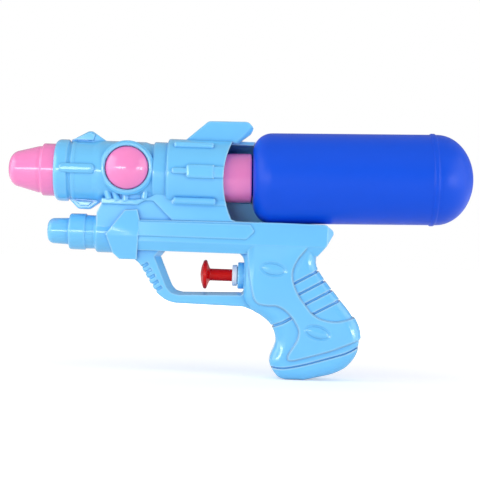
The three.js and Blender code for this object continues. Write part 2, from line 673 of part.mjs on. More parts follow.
function dome(name, side) {
  const rim = DOME_SEAT_Y + CLEAR;
  const sphere = (DOME_RADIUS ** 2 + DOME_HEIGHT ** 2) / (2 * DOME_HEIGHT);
  const centre = rim + DOME_RIM + DOME_HEIGHT - sphere;
  const reach = Math.asin(DOME_RADIUS / sphere);
  const steps = 5;
  const cap = Array.from({ length: steps + 1 }, (_, i) => {
    const angle = reach * (1 - i / steps);
    return [centre + sphere * Math.cos(angle), sphere * Math.sin(angle)];
  });
  const profile = [[rim, 0], [rim, DOME_RADIUS], ...cap].map(([along, radius]) => [side * along, radius]);
  return mesh(name, solid(turnedY(profile, TURNED).translate(DOME_X, 0, DOME_Z)), PINK);
}

function collar() {
  const bore = COLLAR_RADIUS - COLLAR_WALL;
  const flangeEnd = COLLAR_FRONT + BULKHEAD - CLEAR;
  const body = turnedX(loop([
    [COLLAR_FRONT - BARB_LENGTH, BARB_BORE],
    [COLLAR_FRONT - BARB_LENGTH, BARB_RADIUS],
    [COLLAR_FRONT, BARB_RADIUS],
    [COLLAR_FRONT, COLLAR_RADIUS + COLLAR_FLANGE],
    [flangeEnd, COLLAR_RADIUS + COLLAR_FLANGE],
    [flangeEnd, COLLAR_RADIUS],
    [COLLAR_END, COLLAR_RADIUS],
    [COLLAR_END, bore],
    [COLLAR_FLOOR, bore],
    [COLLAR_FLOOR, BARB_RADIUS],
    [DIP_SPIGOT_END, BARB_RADIUS],
    [DIP_SPIGOT_END, BARB_BORE],
  ]));
  const rib = thread(COLLAR_THREAD_START, bore + CLEAR, bore - THREAD_HEIGHT);
  return mesh("bottle_collar", solid(body).add(solid(rib)), PINK);
}

function neckSeal() {
  const front = COLLAR_FLOOR + CLEAR;
  const radius = COLLAR_RADIUS - COLLAR_WALL - 2 * CLEAR;
  return mesh("neck_seal", solid(turnedX(sleeve(front, front + SEAL_LENGTH, radius, SEAL_HOLE))), RUBBER);
}

function bottle() {
  const straight = BOTTLE_RADIUS - SHOULDER_RADIUS;
  const shoulder = (wall) =>
    arc(SHOULDER_X + SHOULDER_RADIUS, straight, SHOULDER_RADIUS - wall, Math.PI, Math.PI / 2, 4)
      .map(({ x, y }) => [x, y]);
  const tail = (wall) =>
    new THREE.EllipseCurve(TAIL_X, 0, TAIL_LENGTH - wall, BOTTLE_RADIUS - wall, Math.PI / 2, 0, true)
      .getPoints(6)
      .map(({ x, y }) => [x, y]);
  const body = turnedX([
    [TAIL_X + TAIL_LENGTH - BOTTLE_WALL, 0],
    ...tail(BOTTLE_WALL).reverse().slice(1),
    ...shoulder(BOTTLE_WALL).reverse(),
    [SHOULDER_X + BOTTLE_WALL, NECK_RADIUS - NECK_WALL],
    [NECK_END, NECK_RADIUS - NECK_WALL],
    [NECK_END, NECK_RADIUS],
    [SHOULDER_X, NECK_RADIUS],
    ...shoulder(0),
    [BEAD_X, BOTTLE_RADIUS],
    [BEAD_X + BEAD_WIDTH / 3, BOTTLE_RADIUS + BEAD_HEIGHT],
    [BEAD_X + (2 * BEAD_WIDTH) / 3, BOTTLE_RADIUS + BEAD_HEIGHT],
    [BEAD_X + BEAD_WIDTH, BOTTLE_RADIUS],
    ...tail(0).slice(0, -1),
    [TAIL_X + TAIL_LENGTH, 0],
  ]);
  const rib = thread(NECK_THREAD_START, NECK_RADIUS - CLEAR, NECK_RADIUS + THREAD_HEIGHT);
  return mesh("bottle", solid(body).add(solid(rib)), BOTTLE_BLUE);
}

function dipTube() {
  const start = COLLAR_FLOOR + CLEAR;
  const route = [
    [start, 0, 0],
    [DIP_SPIGOT_END + DIP_TUBE_STRAIGHT, 0, 0],
    [DIP_TUBE_END / 2, 0, -DIP_TUBE_DROP / 3],
    [DIP_TUBE_END, 0, -DIP_TUBE_DROP],
  ];
  return mesh("dip_tube", solid(hose(route, DIP_TUBE_STEPS)), HOSE);
}

function trigger() {
  const rimX = BUTTON_X + BUTTON_CROWN;
  const backX = BUTTON_X + BUTTON_THICKNESS;
  const button = turnedX([
    [BUTTON_X, 0],
    [BUTTON_X + BUTTON_CROWN / 4, BUTTON_RADIUS / 2],
    [rimX, BUTTON_RADIUS - BUTTON_CROWN / 4],
    [rimX + BUTTON_CROWN / 4, BUTTON_RADIUS],
    [backX, BUTTON_RADIUS],
    [backX + BUTTON_FLARE / 4, (BUTTON_RADIUS + ROD_RADIUS) / 2],
    [backX + BUTTON_FLARE, ROD_RADIUS],
    [ROD_END_X, ROD_RADIUS],
    [ROD_END_X, STUD_RADIUS],
    [ROD_END_X + STUD_LENGTH, STUD_RADIUS],
    [ROD_END_X + STUD_LENGTH, 0],
  ], TURNED).translate(0, 0, PUMP_Z);
  return mesh("trigger", solid(button), RED);
}

function guideBush() {
  const bore = ROD_RADIUS + CLEAR;
  const body = turnedX(loop([
    [BUSH_X, bore],
    [BUSH_X, BUSH_RADIUS],
    [BUSH_SEAT_X, BUSH_RADIUS],
    [BUSH_SEAT_X, PUMP_BORE - CLEAR],
    [BUSH_SEAT_X + BUSH_SPIGOT, PUMP_BORE - CLEAR],
    [BUSH_SEAT_X + BUSH_SPIGOT, bore],
  ]), TURNED).translate(0, 0, PUMP_Z);
  return mesh("guide_bush", solid(body), WHITE);
}

function pumpBarrel() {
  const radius = PUMP_BORE + PUMP_WALL;
  const tube = turnedX(loop([
    [PUMP_X, PUMP_BORE],
    [PUMP_X, PUMP_FLANGE_RADIUS],
    [PUMP_X + PUMP_FLANGE_LENGTH, PUMP_FLANGE_RADIUS],
    [PUMP_X + PUMP_FLANGE_LENGTH, radius],
    [PUMP_END_X, radius],
    [PUMP_END_X, VALVE_PORT],
    [PUMP_END_X - PUMP_END_WALL, VALVE_PORT],
    [PUMP_END_X - PUMP_END_WALL, PUMP_BORE],
  ]), TURNED).translate(0, 0, PUMP_Z);
  const stubTop = PUMP_Z + OUTLET_STUB;
  const stub = upright(OUTLET_X, PUMP_Z + PUMP_BORE, stubTop, VALVE_RADIUS);
  const port = upright(OUTLET_X, PUMP_Z, stubTop + CLEAR, VALVE_PORT);
  return mesh("pump_barrel", solid(tube).add(stub).subtract(port), WHITE);
}

function piston() {
  const radius = PUMP_BORE - PISTON_GAP;
  const end = PISTON_X + PISTON_LENGTH;
  const middle = (PISTON_X + end) / 2;
  const ringFront = middle - SEAL_RING / 2;
  const ringRear = middle + SEAL_RING / 2;
  const head = turnedX(loop([
    [PISTON_X, STUD_RADIUS + CLEAR],
    [PISTON_X, radius],
    [ringFront - CLEAR, radius],
    [ringFront - CLEAR, radius - SEAL_DEPTH],
    [ringRear + CLEAR, radius - SEAL_DEPTH],
    [ringRear + CLEAR, radius],
    [end, radius],
    [end, STUD_RADIUS + CLEAR],
  ]), TURNED).translate(0, 0, PUMP_Z);
  const ring = sleeve(ringFront, ringRear, PUMP_BORE - CLEAR, radius - SEAL_DEPTH + CLEAR);
  return [
    mesh("piston", solid(head), WHITE),
    mesh("piston_seal", solid(turnedX(ring, TURNED).translate(0, 0, PUMP_Z)), RUBBER),
  ];
}

// The spring's wire runs in one helix from the piston to the pump's end wall
class Helix extends THREE.Curve {
  getPoint(t, target = new THREE.Vector3()) {
    const angle = 2 * Math.PI * SPRING_COILS * t;
    const x = SPRING_X + SPRING_WIRE + t * (SPRING_END_X - SPRING_X - 2 * SPRING_WIRE);
    return target.set(x, SPRING_RADIUS * Math.cos(angle), PUMP_Z + SPRING_RADIUS * Math.sin(angle));
  }
}

function returnSpring() {
  const sides = 5;
  const wire = Array.from({ length: sides }, (_, k) => {
    const angle = (2 * Math.PI * k) / sides;
    return new THREE.Vector2(SPRING_WIRE * Math.cos(angle), SPRING_WIRE * Math.sin(angle));
  });
  const settings = { steps: 8 * SPRING_COILS, extrudePath: new Helix() };
  return mesh("return_spring", solid(new THREE.ExtrudeGeometry(new THREE.Shape(wire), settings)), STEEL);
}

function ball(name, x, z) {
  const sphere = new THREE.SphereGeometry(BALL_RADIUS, 10, 6).translate(x, 0, z);
  return mesh(name, solid(sphere), STEEL);
}

// How far a ball's centre rests from the seat that it closes
const BALL_SEATED = Math.sqrt(BALL_RADIUS ** 2 - VALVE_SEAT ** 2) + BALL_GAP;

function outletValve() {
  const bottom = PUMP_Z + OUTLET_STUB + CLEAR;
  const chamberLow = bottom + VALVE_END;
  const chamberHigh = chamberLow + VALVE_CHAMBER_LENGTH;
  const top = chamberHigh + VALVE_END;
  const body = turnedZ(loop([
    [bottom - VALVE_SPIGOT_LENGTH, VALVE_SEAT],
    [bottom - VALVE_SPIGOT_LENGTH, VALVE_PORT - CLEAR],
    [bottom, VALVE_PORT - CLEAR],
    [bottom, VALVE_RADIUS],
    [top, VALVE_RADIUS],
    [top, BARB_RADIUS],
    [top + BARB_LENGTH / 2, BARB_RADIUS],
    [top + BARB_LENGTH / 2, BARB_BORE],
    [chamberHigh, BARB_BORE],
    [chamberHigh, VALVE_CHAMBER],
    [chamberLow, VALVE_CHAMBER],
    [chamberLow, VALVE_SEAT],
  ]), FINE_ROUND).translate(OUTLET_X, 0, 0);
  return [
    mesh("outlet_valve", solid(body), WHITE),
    ball("outlet_ball", OUTLET_X, chamberLow + BALL_SEATED),
  ];
}

const INTAKE_X = PUMP_END_X + CLEAR;
const INTAKE_CHAMBER_X = INTAKE_X + VALVE_END;
const INTAKE_SEAT_X = INTAKE_CHAMBER_X + VALVE_CHAMBER_LENGTH;
const INTAKE_RISER_X = INTAKE_SEAT_X + VALVE_END + BARB_BORE;
const INTAKE_TOP_Z = PUMP_Z + INTAKE_RISE;

function intakeValve() {
  const end = INTAKE_RISER_X + BARB_RADIUS;
  const body = turnedX([
    [INTAKE_X - VALVE_SPIGOT_LENGTH, 0],
    [INTAKE_X - VALVE_SPIGOT_LENGTH, VALVE_PORT - CLEAR],
    [INTAKE_X, VALVE_PORT - CLEAR],
    [INTAKE_X, VALVE_RADIUS],
    [end, VALVE_RADIUS],
    [end, 0],
  ], FINE_ROUND).translate(0, 0, PUMP_Z);
  const channel = turnedX([
    [INTAKE_X - VALVE_SPIGOT_LENGTH - CLEAR, 0],
    [INTAKE_X - VALVE_SPIGOT_LENGTH - CLEAR, VALVE_SEAT],
    [INTAKE_CHAMBER_X, VALVE_SEAT],
    [INTAKE_CHAMBER_X, VALVE_CHAMBER],
    [INTAKE_SEAT_X, VALVE_CHAMBER],
    [INTAKE_SEAT_X, VALVE_SEAT],
    [INTAKE_RISER_X, VALVE_SEAT],
    [INTAKE_RISER_X, 0],
  ], FINE_ROUND).translate(0, 0, PUMP_Z);
  const riser = upright(INTAKE_RISER_X, PUMP_Z, INTAKE_TOP_Z, BARB_RADIUS);
  const bore = upright(INTAKE_RISER_X, PUMP_Z, INTAKE_TOP_Z + CLEAR, BARB_BORE);
  return [
    mesh("intake_valve", solid(body).add(riser).subtract(solid(channel)).subtract(bore), WHITE),
    ball("intake_ball", INTAKE_SEAT_X - BALL_SEATED, PUMP_Z),
  ];
}

// From the collar down through the web and the rail to the pump's inlet
function feedHose() {
  const spout = new THREE.Vector3(COLLAR_FRONT - CLEAR, 0, 0).applyMatrix4(tank.matrix);
  const spoutEnd = new THREE.Vector3(COLLAR_FRONT - BARB_LENGTH, 0, 0).applyMatrix4(tank.matrix);
  const route = [
    spout.toArray(),
    spoutEnd.toArray(),
    [-30, 2.5, TANK_Z - 4],
    [-33.5, 5, TANK_Z - 12],
    [-33, 5.8, RAIL_Z + 19.5],
    [-26, 5.8, RAIL_Z + 11.5],
    [-10, 5.8, RAIL_Z + 9.5],
    [18, 6.8, RAIL_Z + 9.5],
    [31, 6, RAIL_Z + 8.5],
    [INTAKE_RISER_X - 2, 2.5, INTAKE_TOP_Z + 6],
    [INTAKE_RISER_X, 0, INTAKE_TOP_Z + 2],
    [INTAKE_RISER_X, 0, INTAKE_TOP_Z - BARB_LENGTH / 2],
    [INTAKE_RISER_X, 0, PUMP_Z + VALVE_RADIUS + CLEAR],
  ];
  return mesh("feed_hose", solid(hose(route)), HOSE);
}

// From the pump's outlet through the rail and the web to the nozzle jet
function outletHose() {
  const start = PUMP_Z + OUTLET_STUB + 2 * CLEAR + 2 * VALVE_END + VALVE_CHAMBER_LENGTH;
  const route = [
    [OUTLET_X, 0, start],
    [OUTLET_X, 0, start + BARB_LENGTH / 2],
    [OUTLET_X - 3, -1.5, start + 8],
    [14, -5.2, RAIL_Z + 10.5],
    [-10, -5.8, RAIL_Z + 10.5],
    [-28, -5.8, RAIL_Z + 12.5],
    [-37, -5.8, RAIL_Z + 21.5],
    [-43, -4, BARREL_Z - 12],
    [-53, 0, BARREL_Z - 2],
    [-66, 0, BARREL_Z],
    [JET_REAR_X, 0, BARREL_Z],
    [NOZZLE_REAR_X, 0, BARREL_Z],
  ];
  return mesh("outlet_hose", solid(hose(route)), HOSE);
}

function screw(name, x, z) {
  const profile = [
    [SCREW_END_Y, 0],
    [SCREW_END_Y + SCREW_RADIUS, SCREW_RADIUS],
    [SCREW_SEAT_Y + CLEAR, SCREW_RADIUS],
    [SCREW_SEAT_Y + CLEAR, SCREW_HEAD_RADIUS],
    [SCREW_SEAT_Y + SCREW_HEAD_LENGTH, SCREW_HEAD_RADIUS],
    [SCREW_SEAT_Y + SCREW_HEAD_LENGTH, 0],
  ];
  return mesh(name, solid(turnedY(profile, 12).translate(x, 0, z)), STEEL);
}

tank.add(collar(), neckSeal(), bottle(), dipTube());
const squirter = new THREE.Group();
squirter.add(
  ...shells(),
  ...nozzle(),
  dome("left_dome", -1),
  dome("right_dome", 1),
  tank,
  feedHose(),
  outletHose(),
  trigger(),
  guideBush(),
  pumpBarrel(),
  ...piston(),
  returnSpring(),
  ...outletValve(),
  ...intakeValve(),
  ...Object.entries(SCREWS).map(([name, [x, z]]) => screw(name, x, z)),
);

export default squirter;
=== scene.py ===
"""A bottle-fed water squirter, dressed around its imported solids. Sizes are in millimetres."""
import json
import math

import bpy
from mathutils import Matrix, Vector


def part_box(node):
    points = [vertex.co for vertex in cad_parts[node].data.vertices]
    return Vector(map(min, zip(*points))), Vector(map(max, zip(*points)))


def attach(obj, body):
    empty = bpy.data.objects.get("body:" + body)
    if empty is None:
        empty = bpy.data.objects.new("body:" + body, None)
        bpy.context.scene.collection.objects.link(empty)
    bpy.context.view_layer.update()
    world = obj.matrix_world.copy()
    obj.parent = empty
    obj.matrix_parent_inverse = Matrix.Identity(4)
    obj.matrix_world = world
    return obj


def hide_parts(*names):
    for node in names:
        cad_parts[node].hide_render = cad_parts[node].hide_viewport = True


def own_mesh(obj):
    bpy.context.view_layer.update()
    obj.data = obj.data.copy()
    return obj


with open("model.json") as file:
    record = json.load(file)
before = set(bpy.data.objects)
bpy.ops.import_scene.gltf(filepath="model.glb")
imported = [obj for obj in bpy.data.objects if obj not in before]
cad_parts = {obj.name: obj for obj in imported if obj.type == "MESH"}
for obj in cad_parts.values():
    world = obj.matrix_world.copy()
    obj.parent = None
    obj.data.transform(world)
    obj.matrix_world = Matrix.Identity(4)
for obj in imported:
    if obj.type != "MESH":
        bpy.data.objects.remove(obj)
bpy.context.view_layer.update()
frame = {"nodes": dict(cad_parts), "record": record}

MM = 0.001
MERGE = 0.001 * MM  # closer points are one
TOUCH = 0.001
REACH = 300  # beyond every side of the part

# Steps around turned pieces
WIDE_STEPS = 96
MIDDLE_STEPS = 48
SLIM_STEPS = 32
THIN_STEPS = 24

# Walls and gaps
WALL = 2.2
CLEAR = 0.3
SEAM = 0.1  # half of the gap between the two shells
PAST_SEAM = 2  # how far a shell's solids run over the seam before they are cut there

# Places of the axes, and the bottle's slight tilt
BARREL_Z = 116
TANK_Z = 115
TANK_TILT = math.radians(1.5)
LOWER_Z = 80.8
PUMP_Z = 58.6
DOME_X = -65
DOME_Z = 118

# Main sizes
DOME_RADIUS = 12.2
SHROUD_RADIUS = 20.3
BOTTLE_RADIUS = 26.2
SHOULDER_RADIUS = 11
SHOULDER_CENTRE = (18, BOTTLE_RADIUS - SHOULDER_RADIUS)
THREAD_PITCH = 4
GRIP_HALF = 12.9
GRIP_EDGE = 6.5
PANEL_RAISE = 1.1
BEFORE_GRIP = -20


# Drawing

def spline(corners, steps):
    """A smooth line through the corners, with some steps between each two of them."""
    line = []
    for i in range(len(corners) - 1):
        a, b, c, d = (Vector(corners[max(0, min(k, len(corners) - 1))]) for k in range(i - 1, i + 3))
        for step in range(steps):
            t = step / steps
            bend = 2 * b + (c - a) * t + (2 * a - 5 * b + 4 * c - d) * t**2 + (3 * b - a - 3 * c + d) * t**3
            line.append(tuple(bend / 2))
    return line + [tuple(corners[-1])]


def rounded(corners, steps=5):
    """A line whose corners are round where they have a radius as their third number."""
    line = []
    for i, (x, z, *radius) in enumerate(corners):
        if not radius:
            line.append((x, z))
            continue
        here = Vector((x, z))
        before = Vector(corners[i - 1][:2]) - here
        after = Vector(corners[(i + 1) % len(corners)][:2]) - here
        half = before.angle(after) / 2
        room = 0.49 * min(before.length, after.length)  # keeps two round corners apart
        reach = min(radius[0] / math.tan(half), room)
        into, out = before.normalized(), after.normalized()
        centre = here + (into + out).normalized() * reach / math.cos(half)
        start, end = here + into * reach - centre, here + out * reach - centre
        for step in range(steps + 1):
            turn = start.lerp(end, step / steps).normalized() * start.length
            line.append(tuple(centre + turn))
    return line


def grown(outline, distance):
    """A closed outline moved outwards, corner by corner."""
    corners = [Vector(corner) for corner in outline]
    area = sum(a.x * b.y - b.x * a.y for a, b in zip(corners, corners[1:] + corners[:1]))
    side = math.copysign(1, area)
    line = []
    for i, corner in enumerate(corners):
        into = (corner - corners[i - 1]).normalized()
        out = (corners[(i + 1) % len(corners)] - corner).normalized()
        normal = Vector((into.y + out.y, -into.x - out.x))
        line.append(tuple(corner + normal * (2 * side * distance / normal.length_squared)))
    return line


def arc(centre, along, across, start, end, steps):
    """Points on part of an ellipse about a centre, between two angles in degrees."""
    angles = [math.radians(start + (end - start) * i / steps) for i in range(steps + 1)]
    return [(centre[0] + along * math.cos(a), centre[1] + across * math.sin(a)) for a in angles]


def rod(start, end, radius):
    """The profile of a plain round rod between two places along its axis."""
    return [(start, 0), (start, radius), (end, radius), (end, 0)]


def strip(line, width):
    """The outline of a strip of one width along a line."""
    left, right = [], []
    for i, corner in enumerate(line):
        before, after = Vector(line[max(i - 1, 0)]), Vector(line[min(i + 1, len(line) - 1)])
        along = (after - before).normalized()
        across = Vector((-along.y, along.x)) * width / 2
        left.append(tuple(Vector(corner) + across))
        right.append(tuple(Vector(corner) - across))
    return left + right[::-1]


# Places

def at(x, y, z):
    return Matrix.Translation(Vector((x, y, z)) * MM)


def facing(side, x, z):
    """Turns a piece from the X axis to the Y axis on one side, at a point in X and Z."""
    return at(x, 0, z) @ Matrix.Rotation(side * math.pi / 2, 4, "Z")


IN_TANK = at(0, 0, TANK_Z) @ Matrix.Rotation(-TANK_TILT, 4, "Y")
AT_DOME = facing(-1, DOME_X, DOME_Z)


# Modelling

def pick(piece):
    bpy.ops.object.select_all(action="DESELECT")
    piece.select_set(True)
    bpy.context.view_layer.objects.active = piece


def edit(piece):
    pick(piece)
    bpy.ops.object.mode_set(mode="EDIT")
    bpy.ops.mesh.select_mode(type="EDGE")
    bpy.ops.mesh.select_all(action="SELECT")


def leave():
    bpy.ops.object.mode_set(mode="OBJECT")


def choose_edges(piece, wanted):
    """Selects the edges whose two ends pass a test."""
    bpy.ops.mesh.select_all(action="DESELECT")
    leave()
    corners = piece.data.vertices
    for edge in piece.data.edges:
        edge.select = wanted(*(corners[i].co / MM for i in edge.vertices))
    bpy.ops.object.mode_set(mode="EDIT")


def face_out():
    bpy.ops.mesh.select_all(action="SELECT")
    bpy.ops.mesh.normals_make_consistent(inside=False)


def drawn(name, line, closed=True):
    """A line in X and Z as a mesh of edges."""
    curve = bpy.data.curves.new(name, "CURVE")
    curve.dimensions = "3D"
    path = curve.splines.new("POLY")
    path.points.add(len(line) - 1)
    for point, (x, z) in zip(path.points, line):
        point.co = (x * MM, 0, z * MM, 1)
    path.use_cyclic_u = closed
    piece = bpy.data.objects.new(name, curve)
    bpy.context.scene.collection.objects.link(piece)
    pick(piece)
    bpy.ops.object.convert(target="MESH")
    return bpy.context.object


def bevel(size, segments):
    bpy.ops.mesh.bevel(offset=size * MM, segments=segments, affect="EDGES", clamp_overlap=False)


def block_of(name, outline, near, far):
    """An outline pushed out from one depth in Y to another, left in edit mode."""
    piece = drawn(name, outline)
    edit(piece)
    bpy.ops.mesh.edge_face_add()
    bpy.ops.transform.translate(value=(0, near * MM, 0))
    bpy.ops.mesh.extrude_region_move(TRANSFORM_OT_translate={"value": (0, (far - near) * MM, 0)})
    face_out()
    return piece


def plate(name, outline, near, far=PAST_SEAM, edge=0.0, segments=3):
    """An outline pushed out between two depths in Y, with a round rim on its near side."""
    piece = block_of(name, outline, near, far)
    if edge:
        choose_edges(piece, lambda a, b: max(a.y, b.y) < near + TOUCH)
        bevel(edge, segments)
    leave()
    return piece


def slab(name, outline, start, end):
    """An outline in Y and Z, pushed out along X."""
    return moved(plate(name, outline, -end, -start), Matrix.Rotation(math.pi / 2, 4, "Z"))


def turned(name, profile, z=0.0, steps=WIDE_STEPS, closed=False):
    """A profile of places along X and radii, turned about an axis at a height."""
    piece = drawn(name, [(along, z + radius) for along, radius in profile], closed)
    edit(piece)
    bpy.ops.mesh.spin(steps=steps, angle=2 * math.pi, center=(0, 0, z * MM), axis=(1, 0, 0))
    bpy.ops.mesh.select_all(action="SELECT")
    bpy.ops.mesh.remove_doubles(threshold=MERGE)
    bpy.ops.mesh.delete_loose()
    face_out()
    leave()
    return piece


def in_tank(name, profile, steps=WIDE_STEPS, closed=False):
    """A profile turned about the bottle's axis."""
    return moved(turned(name, profile, steps=steps, closed=closed), IN_TANK)


def wound(name, section, pitch, turns):
    """A closed section of places along X and radii, wound about the X axis as a thread or a spring."""
    piece = drawn(name, section)
    coil = piece.modifiers.new("coil", "SCREW")
    coil.axis = "X"
    coil.angle = 2 * math.pi * turns
    coil.screw_offset = pitch * turns * MM
    coil.steps = coil.render_steps = round(SLIM_STEPS * turns)
    bpy.ops.object.modifier_apply(modifier=coil.name)
    edit(piece)
    bpy.ops.mesh.fill_holes(sides=0)
    face_out()
    leave()
    return piece


def moved(piece, place):
    piece.matrix_world = place
    pick(piece)
    bpy.ops.object.transform_apply(location=True, rotation=True, scale=True)
    return piece


def mirrored(piece):
    """Turns a piece of the left side into one of the right side."""
    moved(piece, Matrix.Diagonal((1, -1, 1, 1)))
    edit(piece)
    bpy.ops.mesh.flip_normals()
    leave()


def rounded_bar(name, start, end, y, radius):
    """A bar with round ends, about a line between two points in X and Z."""
    along = Vector(end) - Vector(start)
    reach = along.length + radius
    profile = rounded([(-radius, 0), (-radius, radius, radius), (reach, radius, radius), (reach, 0)])
    turn = Matrix.Rotation(-math.atan2(along.y, along.x), 4, "Y")
    return moved(turned(name, profile, steps=SLIM_STEPS), at(start[0], y, start[1]) @ turn)


def oval(name, x, y, z, sizes, tilt):
    """A ball drawn out to three half sizes and tilted in the picture plane."""
    bpy.ops.object.select_all(action="DESELECT")
    bpy.ops.mesh.primitive_uv_sphere_add(segments=MIDDLE_STEPS, ring_count=MIDDLE_STEPS // 2, radius=MM)
    piece = bpy.context.object
    piece.name = name
    scale = Matrix.Diagonal((*sizes, 1))
    return moved(piece, at(x, y, z) @ Matrix.Rotation(math.radians(tilt), 4, "Y") @ scale)


def combine(piece, tools, operation):
    """Joins tools to a piece, cuts them out of it or keeps what they share."""
    group = bpy.data.collections.new("tools")
    bpy.context.scene.collection.children.link(group)
    for tool in tools:
        for home in tool.users_collection:
            home.objects.unlink(tool)
        group.objects.link(tool)
    change = piece.modifiers.new("change", "BOOLEAN")
    change.operation = operation
    change.operand_type = "COLLECTION"
    change.collection = group
    change.solver = "MANIFOLD"
    pick(piece)
    bpy.ops.object.modifier_apply(modifier=change.name)
    for tool in tools:
        bpy.data.objects.remove(tool)
    bpy.data.collections.remove(group)
    return piece


def join(piece, *tools):
    return combine(piece, tools, "UNION")


def cut(piece, *tools):
    return combine(piece, tools, "DIFFERENCE")


def copied(piece, name):
    copy = piece.copy()
    copy.data = piece.data.copy()
    copy.name = name
    bpy.context.scene.collection.objects.link(copy)
    return copy


def smooth(piece, angle):
    """Soft shading over round stretches, with flat faces kept flat."""
    pick(piece)
    bpy.ops.object.shade_smooth_by_angle(angle=math.radians(angle))
    even = piece.modifiers.new("even", "WEIGHTED_NORMAL")
    even.keep_sharp = True
    bpy.ops.object.modifier_apply(modifier=even.name)


# Outlines in X and Z

EVERYWHERE = [(-REACH, -REACH), (REACH, -REACH), (REACH, REACH), (-REACH, REACH)]
GRIP_FRONT = [
    (3.4, 62), (3.4, 52), (4.6, 44.5), (9.1, 39.2), (14.6, 36), (20.2, 31), (23.2, 22), (19.9, 10.5),
    (24.4, 2.2), (29.5, 0),
]
GRIP_REAR = [
    (40, 0), (49.1, 2.2), (57.1, 4.4), (65, 9), (70.6, 17.8), (70.6, 29), (66.1, 38.6), (58.7, 47.7),
    (50.1, 58.2), (45.2, 66), (45.2, 72),
]
GRIP = [(3.4, 86)] + spline(GRIP_FRONT, 4) + spline(GRIP_REAR, 4) + [(46.2, 86)]
PANEL_FRONT = [
    (8.7, 48.5), (9.8, 45.4), (12.5, 42.8), (17.9, 42), (23.1, 41.9), (27.9, 39.4), (32.2, 35.1),
    (35.6, 28.9), (35.3, 23.7), (32.3, 18.3), (29.9, 13.5), (31.6, 11), (39.9, 12.8), (55.5, 17.6),
    (70.9, 24),
]
PANEL_REAR = [
    (66.2, 36.8), (57.7, 34.6), (49.6, 35.5), (44.2, 38.2), (40.4, 42.3), (35.4, 48.9), (32.3, 56.1),
    (31.8, 62.4), (34.7, 69.4), (40, 75.9),
]
PANEL = (
    [(4.1, 80), (4.4, 75), (6.5, 58.4)]
    + spline(PANEL_FRONT, 5)
    + [(80, 28), (80, 41)]
    + spline(PANEL_REAR, 5)
    + [(43, 80)]
)
GRIP_RIDGES = [
    [(30, 53.9), (54, 67.7)],
    [(32, 47.4), (58, 62.1)],
    [(35, 41.4), (62, 56.7)],
    [(40, 36.2), (66, 50.6)],
]
FINGER_GROOVE = [(12, 26), (20.5, 30.3), (27, 33), (33, 36.6)]
BASE_LINE = [
    (10, 7.8), (20.4, 7.2), (28.6, 6.9), (40.1, 9.3), (55.7, 14), (63.8, 16.7), (71, 20.5), (80, 25),
]
GUARD = rounded([
    (-60.8, 74), (-60.3, 66.5, 2), (-56.7, 63.8, 2), (-49.4, 51.9), (-45.7, 46.8, 6), (-42.1, 44, 6),
    (-38.6, 42.4, 6), (-35.1, 41.7, 8), (4, 41, 8), (12, 38), (12, 74),
])
OPENING_REAR = 3.6
OPENING_LOW = 48.2
OPENING_TOP = 72.2
OPENING_FRONT = (-44.6, 68.2)
OPENING = (
    [OPENING_FRONT, (-39.6, 56.5)]
    + spline([(-37.5, 52), (-35, 49.3), (-31, OPENING_LOW)], 6)
    + rounded([
        (OPENING_REAR, OPENING_LOW, 1.6), (OPENING_REAR, OPENING_TOP, 5.5), (-41.4, OPENING_TOP, 2.5),
        OPENING_FRONT,
    ])[:-1]
)
RAIL = rounded([
    (-61, 71.3), (-61, 88.8), (23, 89.8), (49.4, 89.6, 3), (55, 85.4, 2.5), (50.2, 77, 4), (45.4, 71.3),
])
RAIL_INSIDE = [(-61, 71.5), (-61, 88.8), (48, 89.8), (46, 71.5)]
RAIL_PANEL = rounded([(-58, 79.4), (-58, 88), (6.4, 88.4, 1.5), (9.2, 84.4, 1.5), (4.6, 79.4, 3)])
WEB_FRONT = [(-81.8, 84), (-81.8, 92), (-79.2, 97.4), (-76, 100.4), (-72, 108)]
WEB = WEB_FRONT + [(17, 108), (17, 84)]
WEB_INSIDE = WEB_FRONT + [(18, 108), (18, 84)]
WEB_PANEL = rounded([
    (-79.2, 97.2, 0.8), (-58.6, 97, 2), (-54.6, 99.6, 2), (-49.8, 99.8, 2.5), (-38.6, 89, 1), (16.8, 89),
    (16.8, 106), (-45, 106), (-52, 101.8), (-60, 100.3), (-79.2, 100.6, 0.8),
])
SKIRT = rounded([(-39, 98, 1.2), (-39, 106), (8.3, 106), (8.3, 98)])
BLOCK = [(-76, 80), (-65.6, 94), (-58.4, 94.6), (-56.7, 88.2), (-58, 66), (-68, 65.9), (-72, 69.5)]
BLOCK_INSIDE = [(-73, 80), (-64.5, 91.5), (-60, 91.8), (-60, 68.2), (-67, 68.2), (-70, 71)]
FIN = rounded([
    (-32.6, 134.7), (-32.2, 136.3), (-19.7, 147.3, 4), (3.2, 147.7, 4), (6.6, 144.2, 2), (4.9, 140.6, 3),
    (-0.1, 136.6), (-2.2, 134.7),
])
TOP_FIN = rounded([
    (-98, 128), (-98.4, 133.4), (-88.5, 138.9, 3), (-86.3, 138.9, 3), (-78.4, 133.7, 3), (-75, 131),
    (-75, 128),
])
TOP_FIN_PANEL = rounded([(-98, 133.6), (-88.2, 138.3, 3), (-84.6, 137.2, 0.8), (-85.6, 133.6, 0.6)])
BOTTOM_FIN = rounded([
    (-97, 104), (-98.6, 99.3, 1.5), (-93.3, 94, 2.5), (-86.6, 93.9, 3), (-80.6, 98.3, 2), (-80, 104),
])
BOTTOM_FIN_PANEL = rounded([(-95.5, 98.8), (-92, 95.7, 2), (-87.4, 95.6, 2), (-84.4, 98.6)])
GILLS = [
    [(-77.6, 108.5), (-75.4, 101.6)],
    [(-71.6, 103.6), (-70.6, 100.9)],
    [(-65.8, 103.2), (-65.6, 100.8)],
    [(-54.4, 107.6), (-54.8, 102.4)],
]
